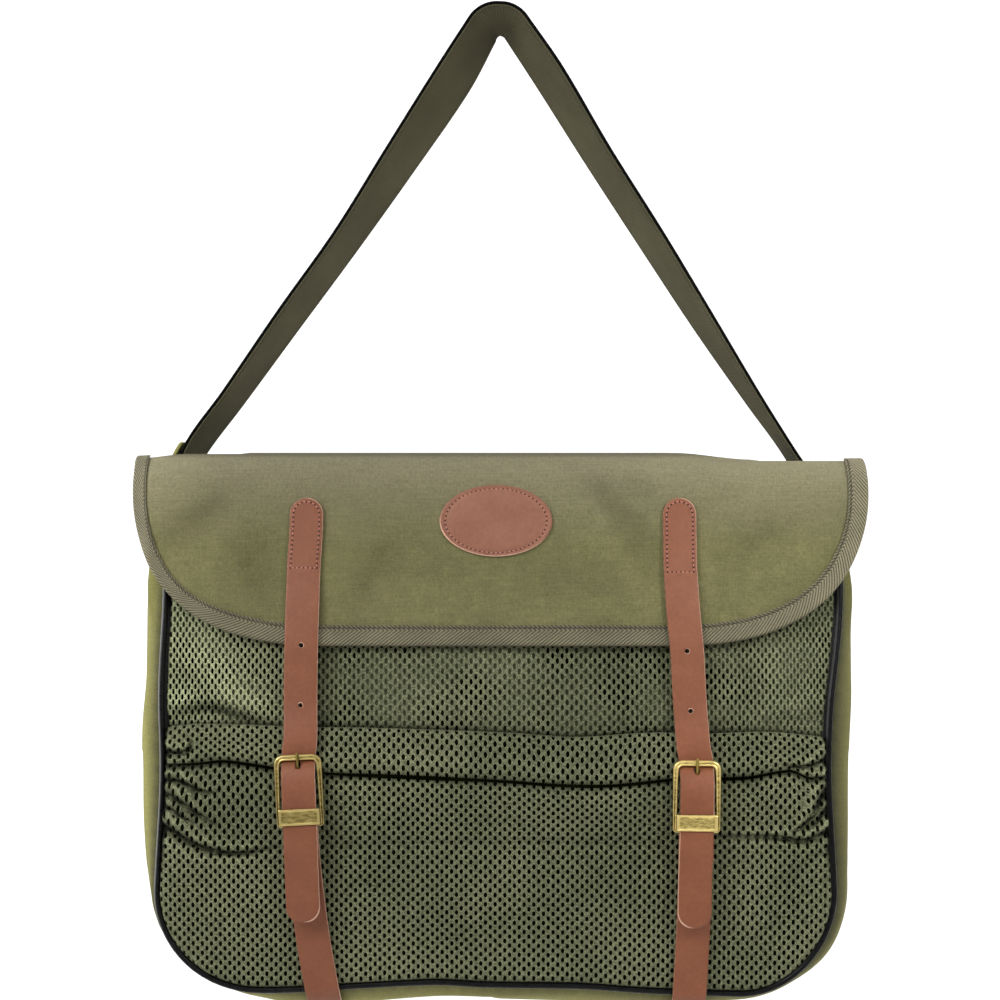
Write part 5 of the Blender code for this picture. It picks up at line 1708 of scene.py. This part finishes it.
def punch(obj, spots, wide, tall):
    """Cuts round holes through a strap along Y."""
    bm = bmesh.new()
    for spot in spots:
        made = bmesh.ops.create_cone(bm, cap_ends=True, segments=20, radius1=1, radius2=1, depth=0.014)
        shape = Matrix.Translation(spot) @ Matrix.Rotation(math.pi / 2, 4, "X")
        shape = shape @ Matrix.Diagonal((wide, tall, 1, 1))
        bmesh.ops.transform(bm, matrix=shape, verts=made["verts"])
    cutter_mesh = bpy.data.meshes.new("punch")
    bm.to_mesh(cutter_mesh)
    bm.free()
    cutter = bpy.data.objects.new("punch", cutter_mesh)
    bpy.context.scene.collection.objects.link(cutter)
    cutter.hide_render = True
    modifier = obj.modifiers.new("holes", "BOOLEAN")
    modifier.operation = "DIFFERENCE"
    modifier.object = cutter
    bpy.context.view_layer.update()
    graph = bpy.context.evaluated_depsgraph_get()
    cut = bpy.data.meshes.new_from_object(obj.evaluated_get(graph))
    obj.modifiers.clear()
    obj.data = cut
    bpy.data.objects.remove(cutter)


def tilts_of(points):
    return np.arctan(np.gradient(points[:, 0]) / np.gradient(points[:, 2]))


class BAG_OT_billets(bpy.types.Operator):
    """Make both leather billets with their holes, stitches and raw edges"""
    bl_idname = "bag.billets"
    bl_label = "Billets"

    def execute(self, context):
        tip = STRAP_HALF * 0.85
        for side in SIDES:
            top, tip_z = BILLET_ROWS[0].z, side.bar_z + THROUGH_ROWS[-1].rise
            eased = STRAP_HALF * (1 - np.cos(np.linspace(0.12, math.pi / 2, 14)))
            tip_rows = tip * (1 - np.cos(np.linspace(0.12, math.pi / 2, 12)))
            zs = chain(top - eased, np.linspace(top - 0.0112, tip_z + 0.0096, 150), tip_z
                       + tip_rows[::-1])
            widths = np.minimum(rounded(top - zs), rounded(zs - tip_z, tip))
            centres = billet_at(side, zs)
            keeper_z = side.bar_z + KEEPER_RISE

            def raw(u, z, left=side.sign < 0, keeper_z=keeper_z):
                below = ease(keeper_z + 0.004, keeper_z - 0.004, z)
                return mix(mix(0.55, 0.15 if left else 1.0, below),
                           mix(0.95, 1.0 if left else 0.15, below), ease(-0.4, 0.4, u))

            obj = strap_piece("leather_billet_" + side.name, centres, tilts_of(centres), widths,
                              (True, True), LEATHER, raw)
            spots = [tuple(billet_at(side, side.bar_z + rise)) for rise in HOLE_RISES]
            punch(obj, spots, HOLE_RADIUS, HOLE_RADIUS)
            punch(obj, [tuple(billet_at(side, side.bar_z + PRONG_HOLE_RISE))], PRONG_RADIUS + 2 * GAP,
                  PRONG_HOLE_HALF)
            fasten(obj, "leather", "billet_" + side.name)
            self.add_rims(side, spots)
            self.sew(side, top)
        return {"FINISHED"}

    def add_rims(self, side, spots):
        """Pale raw edge round each punched hole."""
        turn = np.linspace(0, 2 * math.pi, 25)
        radius = HOLE_RADIUS + 0.0001
        low_right = 0.5 + 0.5 * np.cos(turn + math.pi / 4)
        for number, (x, y, z) in enumerate(spots, 1):
            path = stack(x + radius * np.cos(turn), y - LEATHER / 2 + 0.0001 - 0.0002 * low_right, z
                         + radius * np.sin(turn))
            fasten(tube("billet_%s_hole_rim_%d" % (side.name, number), path, 0.00022, "raw_edge", 8),
                   "leather")

    def sew(self, side, top):
        """Stitches round the sewn end and across it."""
        inset, low = 0.0022, side.cross_z
        half = STRAP_HALF - inset
        turn = np.linspace(0, math.pi, 30)
        arch_z = top - inset - half * (1 - np.sin(turn))
        down = np.linspace(arch_z[-1], low, 30)[1:]
        beside = np.full(len(down), half)
        cross = np.linspace(-half, half, 14)
        lines = []
        for off, level in ((chain(beside, half * np.cos(turn), -beside),
                            chain(down[::-1], arch_z, down)), (cross, np.full(len(cross), low))):
            path = billet_at(side, level) + stack(off, -LEATHER / 2 - 0.00022, 0.0)
            lines.append((path, np.tile([0.0, -1.0, 0.1], (len(path), 1))))
        stitches("billet_%s_stitches" % side.name, "leather", lines, sizes().stitch,
                 sizes().leather_thread, "leather_thread", LEATHER_STITCH)
        needle_holes("billet_%s_needle_holes" % side.name, "leather", lines, sizes().stitch, 0.00068,
                     0.0)


class BAG_OT_lower_straps(bpy.types.Operator):
    """Make the leather straps that hold the buckles"""
    bl_idname = "bag.lower_straps"
    bl_label = "Lower straps"

    def execute(self, context):
        for side in SIDES:
            path = fine_path([(getattr(row, side.name + "_x"), row.y, row.z) for row in LOWER_ROWS], 12)
            index, tilts = np.arange(len(path)), tilts_of(path)
            tilts = np.where(index < 48, tilts[48], tilts) * ease(24, 54, index)
            fold = BUCKLE_DEPTH / 2 + 2 * GAP + LOWER_LEATHER / 2
            taller = (BUCKLE_BAR - BUCKLE_DEPTH) / 2 + 0.0003
            turn = np.linspace(0, math.pi, 17)
            loop = stack(side.bar_x, BUCKLE_Y + fold * np.cos(turn), side.bar_z + (fold + taller)
                         * np.sin(turn))
            drop = np.linspace(0.002, 0.017, 12)
            tail = stack(side.bar_x, BUCKLE_Y - fold + 0.0006 * drop / 0.017, side.bar_z - drop)
            centres = chain(path, loop, tail)
            tilts = chain(tilts, np.full(len(loop) + len(tail), math.radians(side.roll)))

            def raw(u, z, left=side.sign < 0):
                return mix(0.35 if left else 0.6, 0.85 if left else 0.4, ease(-0.4, 0.4, u))

            obj = strap_piece("leather_strap_" + side.name, centres, tilts,
                              np.full(len(centres), STRAP_HALF), (False, False), LOWER_LEATHER, raw)
            punch(obj, [(side.bar_x, BUCKLE_Y, side.bar_z + 0.002)], 0.00225, 0.0075)
            settle(obj)
            fasten(obj, "leather", "lower_strap_" + side.name)
        return {"FINISHED"}


# Brass

def outline_of(half, low, high, low_radius, high_radius, steps=10):
    """Closed outline of a rounded rectangle with the directions out of it."""
    corners = ((half - low_radius, low + low_radius, low_radius, -90),
               (half - high_radius, high - high_radius, high_radius, 0),
               (high_radius - half, high - high_radius, high_radius, 90),
               (low_radius - half, low + low_radius, low_radius, 180))
    points, outs = [], []
    for x, y, radius, start in corners:
        angle = np.radians(np.linspace(start, start + 90, steps))
        outs.append(stack(np.cos(angle), np.sin(angle)))
        points.append(np.array([x, y]) + radius * outs[-1])
    return chain(*points), chain(*outs)


def ring_mesh(name, rings, edge):
    """A closed brass ring from sections; rings is stations by section points by 3."""
    obj = new_mesh(name, rings, ring_faces(*rings.shape[:2], True), "brass", rings[..., [0, 2]], edge)
    face_out(obj)
    return obj


def rolled(side, centre, x, y, z):
    """Place of a point x, y, z from a centre, rolled like the side's buckle."""
    roll = math.radians(side.roll)
    return stack(centre[0] + x * math.cos(roll) + z * math.sin(roll), centre[1] + y, centre[2] - x
                 * math.sin(roll) + z * math.cos(roll))


class BAG_OT_brass(bpy.types.Operator):
    """Make the brass buckles, prongs and keepers"""
    bl_idname = "bag.brass"
    bl_label = "Brass"

    def execute(self, context):
        for side in SIDES:
            self.frame_of(side)
            self.prong(side)
            self.keeper(side)
        return {"FINISHED"}

    def frame_of(self, side):
        """Bar with a raised lip along both edges of its face and a groove between."""
        bar, half_depth = BUCKLE_BAR, BUCKLE_DEPTH / 2
        points, outs = outline_of(BUCKLE_WIDTH / 2, -bar * LOW_BAR / 2, BUCKLE_HEIGHT - bar / 2,
                                  BUCKLE_LOW_RADIUS, BUCKLE_TOP_RADIUS)
        height = np.clip(points[:, 1] / (BUCKLE_HEIGHT - BUCKLE_TOP_RADIUS), 0, 1)
        points[:, 0] *= mix(0.985, 1.0, height)
        width = mix(LOW_BAR, 1.0, height)[:, None]
        inset, depth, worn = np.array((
            (0.0, 0.3, 0.6), (0.05, 0.72, 0.9), (0.14, 0.95, 1.0), (0.24, 1.0, 1.0),
            (0.33, 0.84, 0.65), (0.42, 0.74, 0.42), (0.58, 0.74, 0.42), (0.67, 0.84, 0.65),
            (0.76, 1.0, 1.0), (0.86, 0.95, 1.0), (0.95, 0.72, 0.9), (1.0, 0.3, 0.6),
            (1.0, -0.7, 0.3), (0.9, -1.0, 0.4), (0.1, -1.0, 0.4), (0.0, -0.7, 0.3))).T
        flat = points[:, None] - outs[:, None] * (inset * bar * width)[..., None]
        rings = rolled(side, (side.bar_x, BUCKLE_Y, side.bar_z), flat[..., 0], -depth * half_depth
                       * mix(0.7, 1.0, width), flat[..., 1])
        obj = ring_mesh("brass_buckle_" + side.name, rings, np.tile(worn, len(points)))
        fasten(obj, "antique_brass", "buckle_" + side.name)

    def prong(self, side):
        reach = BUCKLE_DEPTH / 2 + 2 * GAP + PRONG_RADIUS
        tall = BUCKLE_BAR / 2 + 2 * GAP + PRONG_RADIUS
        turn = np.radians([-60, -30, 0, 30, 60, 90])
        top = BUCKLE_HEIGHT - BUCKLE_BAR
        rest = -BUCKLE_DEPTH / 2 - GAP - 0.0001 - PRONG_RADIUS
        ys = chain(reach * np.cos(turn), [-0.0004, -0.0008, -0.0013, -0.0019, rest, rest])
        rises = chain(tall * np.sin(turn), [0.008, top - 0.02, top - 0.01, top - 0.0062, top - 0.0034,
                                            top + 0.0022])
        y, rise = fine_path(stack(ys, rises), 8).T
        path = stack(side.bar_x + rise * math.tan(math.radians(side.roll)), BUCKLE_Y + y, side.bar_z
                     + rise)
        fasten(tube("brass_prong_" + side.name, path, PRONG_RADIUS, "brass", 14), "antique_brass",
               "prong_" + side.name)

    def keeper(self, side):
        """A box loop round both leathers, its face edged with a raised border."""
        middle = billet_at(side, np.array([side.bar_z + KEEPER_RISE]))[0]
        depth = LEATHER / 2 + GAP + 0.0001 + KEEPER_WALL
        loop, out = outline_of(KEEPER_WIDTH / 2, -depth, depth, 0.0009, 0.0009, 6)
        front = np.linspace(-1, 1, 30) * (KEEPER_WIDTH / 2 - 0.0011)
        loop, out = chain(loop, stack(front, -depth)), chain(out, stack(0 * front, -1.0))
        half = KEEPER_HEIGHT / 2
        levels = np.array([-1, -0.93, -0.82, -0.72, -0.64, -0.4, 0, 0.4, 0.64, 0.72, 0.82, 0.93, 1])
        border = np.array([0.3, 1, 0.9, 0.3, 0.05, 0, 0, 0, 0.05, 0.3, 0.9, 1, 0.3])
        near_end = np.abs(loop[:, :1]) > KEEPER_WIDTH / 2 - 0.0018
        raised = np.minimum(np.maximum(border, 1.0 * near_end), [0.3] + [1] * 11 + [0.3])
        shown = out[:, 1:] < -0.5
        grow = np.where(shown, 0.0004 * raised, 0.0001)
        grow = chain(grow.T, np.full((2, len(loop)), -KEEPER_WALL)).T
        x, y = loop[:, :1] + out[:, :1] * grow, loop[:, 1:] + out[:, 1:] * grow
        rings = rolled(side, middle, x, y, chain(levels, [1, -1]) * half)
        worn = np.where(shown, mix(0.45, 1.0, raised), 0.5)
        worn = chain(worn.T, np.full((2, len(loop)), 0.2)).T
        fasten(ring_mesh("brass_keeper_" + side.name, rings, worn), "antique_brass", "keeper_"
               + side.name)


# Shoulder strap

def strap_leg(side):
    """Columns of height, sideways place and twist of a leg, from its sewn end to the top."""
    layers = CANVAS / 2 + STRAP_CLEAR + WEBBING + GAP + TAPE_STRAP
    sewn = [(z, float(tab_line(side, z)) - layers * slant, twist) for z, slant,
            twist in ((-0.338, 1.01, 0), (-0.315, 1.03, 1), (-0.292, 1.07, 5))]
    rows = [(row.z, getattr(row, side.name + "_x"), getattr(row, side.name + "_twist"))
            for row in LEG_ROWS]
    end = (APEX_RADIUS * (math.cos(APEX_ANGLE) - 1), APEX_RADIUS * math.sin(APEX_ANGLE),
           LEG_TOP_TWIST[side.name])
    return np.array([*sewn, *rows, end], float).T


def strap_twist(side, z):
    zs, _, twists = strap_leg(side)
    return through(zs, twists, z)


def strap_centres():
    """Underside's middle and twist, from the left end over the top to the right end."""
    legs = []
    for side in SIDES:
        zs, xs, twists = strap_leg(side)
        heights = np.linspace(zs[0], zs[-1], 150)[:-1]
        legs.append(stack(side.sign * through(zs, xs, heights), heights, through(zs, twists, heights)))
    angles = np.linspace(-APEX_ANGLE, APEX_ANGLE, 41)
    leg_twist = np.where(angles < 0, LEG_TOP_TWIST["left"], LEG_TOP_TWIST["right"])
    twist = mix(APEX_TWIST, leg_twist, np.abs(angles) / APEX_ANGLE)
    top = stack(APEX_RADIUS * np.sin(angles), APEX_RADIUS * (np.cos(angles) - 1), twist)
    return chain(legs[0], top, legs[1][::-1])


def strap_surface(centres, half):
    """Point function of one layer of the strap; u is across it and i along its centres."""
    x, z, twist = centres.T
    flat = stack(x, 0.0, z)
    along = unit(np.gradient(flat, axis=0))
    outward = stack(-along[:, 2], 0.0, along[:, 0])
    turn = np.radians(twist)[:, None]
    back = np.array([0.0, 1.0, 0.0])
    width = outward * np.sin(turn) - back * np.cos(turn)
    face = outward * np.cos(turn) + back * np.sin(turn)
    middle = stack(x, STRAP_MID_Y * ease(-0.01, -0.1, z), z)
    runs = runs_of(flat)

    def surface(u, i, out):
        cup = 0.0004 * u**2 * np.sin(runs[i] * 24)
        ripple = 0.00035 * np.sin(runs[i] * 61 + u * 2.0) * (1 - u**2)
        return (middle[i] + width[i] * (u * half)[..., None] + face[i]
                * (out + (cup + ripple) * 0.5)[..., None])

    return surface, runs


class BAG_OT_shoulder_strap(bpy.types.Operator):
    """Make the shoulder strap's olive tape and black webbing"""
    bl_idname = "bag.shoulder_strap"
    bl_label = "Shoulder strap"

    def execute(self, context):
        centres = strap_centres()
        every = np.arange(len(centres))
        across = chain([-1, -0.985, -0.95], np.linspace(-0.88, 0.88, 15), [0.95, 0.985, 1])
        u, i = np.meshgrid(across, every)
        layers = (("strap_olive_tape", "strap", "strap_tape", "shoulder_strap", TAPE_STRAP_HALF,
                   TAPE_STRAP, 0.0),
                  ("strap_black_webbing", "webbing", "webbing", "strap_webbing", WEBBING_HALF,
                   WEBBING, TAPE_STRAP + GAP))
        for name, look, slot, node, half, thickness, start in layers:
            surface, runs = strap_surface(centres, half)

            def layer(out, surface=surface, middle=start + thickness / 2):
                return surface(u, i, middle + out)

            inset = np.minimum((1 - np.abs(u)) * half, np.minimum(runs[i], runs[-1] - runs[i]))
            obj = slab(name, layer, thickness, look, inset, stack(u * half, runs[i]), soft=thickness
                       * 0.45)
            fasten(obj, slot, node)
        surface, _ = strap_surface(centres, TAPE_STRAP_HALF)
        lines = []
        for place in (-0.88, 0.88):
            at = np.full(len(every), place)
            path = surface(at, every, -0.00012)
            lines.append((path, unit(path - surface(at, every, 0.001))))
        stitches("strap_stitches", "strap_tape", lines, sizes().seam_stitch, 0.0005, "cloth_thread")
        return {"FINISHED"}


# Sewing on the canvas

class BAG_OT_sewing(bpy.types.Operator):
    """Make the rows of stitches in the canvas at the back and on the strap tabs"""
    bl_idname = "bag.sewing"
    bl_label = "Canvas stitches"

    def execute(self, context):
        x = np.linspace(-NECK_HALF + 0.004, NECK_HALF - 0.004, 120)
        lines = [flap_line(x, run, CANVAS / 2 + 0.0001) for run in (0.0025, 0.0085)]
        for side in SIDES:
            lines += self.tab_box(side)
        stitches("canvas_stitches", "canvas", lines, sizes().seam_stitch, sizes().thread,
                 "cloth_thread")
        return {"FINISHED"}

    def tab_box(self, side):
        """A crossed box of stitches where the strap is sewn inside the tab."""
        low, high = HALF_RUN - 0.046, HALF_RUN - 0.012
        left, right = 0.36, 0.64
        box = ((left, low), (right, low), (right, high), (left, high), (left, low), (right, high))
        made = []
        for start, end in [*zip(box, box[1:]), ((right, low), (left, high))]:
            w, run = np.linspace(start, end, 24).T
            path, outer = [skin(gusset_place, w, side.sign * run, np.full(len(w), out), 0.003)
                           for out in (-CANVAS / 2 - 0.0001, -CANVAS)]
            made.append((path, unit(outer - path)))
        return made


# Studio

class BAG_OT_studio(bpy.types.Operator):
    """Set up the pale floor and backdrop, the soft lights and the camera"""
    bl_idname = "bag.studio"
    bl_label = "Studio"

    def execute(self, context):
        self.sweep()
        self.light("key", (-0.95, -1.15, 0.7), (0, 0, -0.38), 0.8, 16.5)
        self.light("fill", (1.3, -1.5, 0.1), (0, 0, -0.4), 1.2, 3.6)
        self.light("right beam", (0.8, -0.95, 0.3), (0.27, -0.05, -0.27), 0.3, 0.46, 34)
        self.light("left beam", (-1.05, -0.7, 0.05), (-0.27, -0.02, -0.36), 0.3, 0.4, 34)
        self.light("top", (0, -0.45, 0.8), (0, 0, -0.28), 0.7, 1.3)
        self.light("backdrop left", (-1.7, 0.5, 0.9), (0.4, 2.2, -0.3), 1.4, 36)
        self.light("backdrop right", (1.7, 0.5, 0.9), (-0.4, 2.2, -0.3), 1.4, 36)
        world = bpy.data.worlds.new("studio")
        world.use_nodes = True
        background = world.node_tree.nodes["Background"]
        background.inputs["Color"].default_value = (1, 1, 1, 1)
        background.inputs["Strength"].default_value = 0.42
        context.scene.world = world
        context.scene.view_settings.view_transform = "Standard"
        context.scene.view_settings.look = "None"
        self.camera(context)
        return {"FINISHED"}

    def sweep(self):
        """Floor that curves up into a backdrop."""
        floor_z, depth, radius = -0.95, 2.2, 0.8
        turn = np.linspace(0, math.pi / 2, 14)[1:]
        curve = stack(depth - radius + radius * np.sin(turn), floor_z + radius * (1 - np.cos(turn)))
        profile = chain([(-2.6, floor_z), (depth - radius, floor_z)], curve, [(depth, 2.6)])
        points = stack(np.array([-4.0, 4.0]), profile[:, :1], profile[:, 1:])
        new_mesh("studio_floor", points, grid_faces(len(profile), 2), "paper")

    def light(self, name, place, target, size, power, spread=180):
        lamp = bpy.data.lights.new(name, "AREA")
        lamp.size = size
        lamp.energy = power
        lamp.spread = math.radians(spread)
        obj = bpy.data.objects.new(name, lamp)
        obj.location = place
        obj.rotation_euler = (Vector(target) - Vector(place)).to_track_quat("-Z", "Y").to_euler()
        bpy.context.scene.collection.objects.link(obj)

    def camera(self, context):
        """Straight on, from as far as the photograph's width of 0.62 m at the strap asks."""
        lens = bpy.data.cameras.new("camera")
        lens.lens = 90
        lens.sensor_width = 36
        obj = bpy.data.objects.new("camera", lens)
        obj.location = (0, -1.55, -0.297)
        obj.rotation_euler = (math.radians(90), 0, 0)
        context.scene.collection.objects.link(obj)
        context.scene.camera = obj


OPERATORS = (
    BAG_OT_back_panel, BAG_OT_front_net, BAG_OT_net_pocket, BAG_OT_gusset, BAG_OT_piping,
    BAG_OT_flap, BAG_OT_binding, BAG_OT_patch, BAG_OT_billets, BAG_OT_lower_straps, BAG_OT_brass,
    BAG_OT_shoulder_strap, BAG_OT_sewing, BAG_OT_studio,
)


class BAG_PT_panel(bpy.types.Panel):
    """Buttons and settings of the game bag"""
    bl_idname = "BAG_PT_panel"
    bl_label = "Game Bag"
    bl_space_type = "VIEW_3D"
    bl_region_type = "UI"
    bl_category = "Game Bag"

    def draw(self, context):
        layout = self.layout
        for group in (context.scene.bag_sizes, context.scene.bag_colours):
            for name in group.bl_rna.properties.keys():
                if name not in ("rna_type", "name"):
                    layout.prop(group, name)
        for operator in OPERATORS:
            layout.operator(operator.bl_idname)


CLASSES = (BagSizes, BagColours) + OPERATORS + (BAG_PT_panel,)


def register():
    for item in CLASSES:
        bpy.utils.register_class(item)
    bpy.types.Scene.bag_sizes = PointerProperty(type=BagSizes)
    bpy.types.Scene.bag_colours = PointerProperty(type=BagColours)


def unregister():
    del bpy.types.Scene.bag_sizes
    del bpy.types.Scene.bag_colours
    for item in reversed(CLASSES):
        bpy.utils.unregister_class(item)


def main():
    register()
    for operator in OPERATORS:
        group, name = operator.bl_idname.split(".")
        getattr(getattr(bpy.ops, group), name)()


if __name__ == "__main__":
    main()
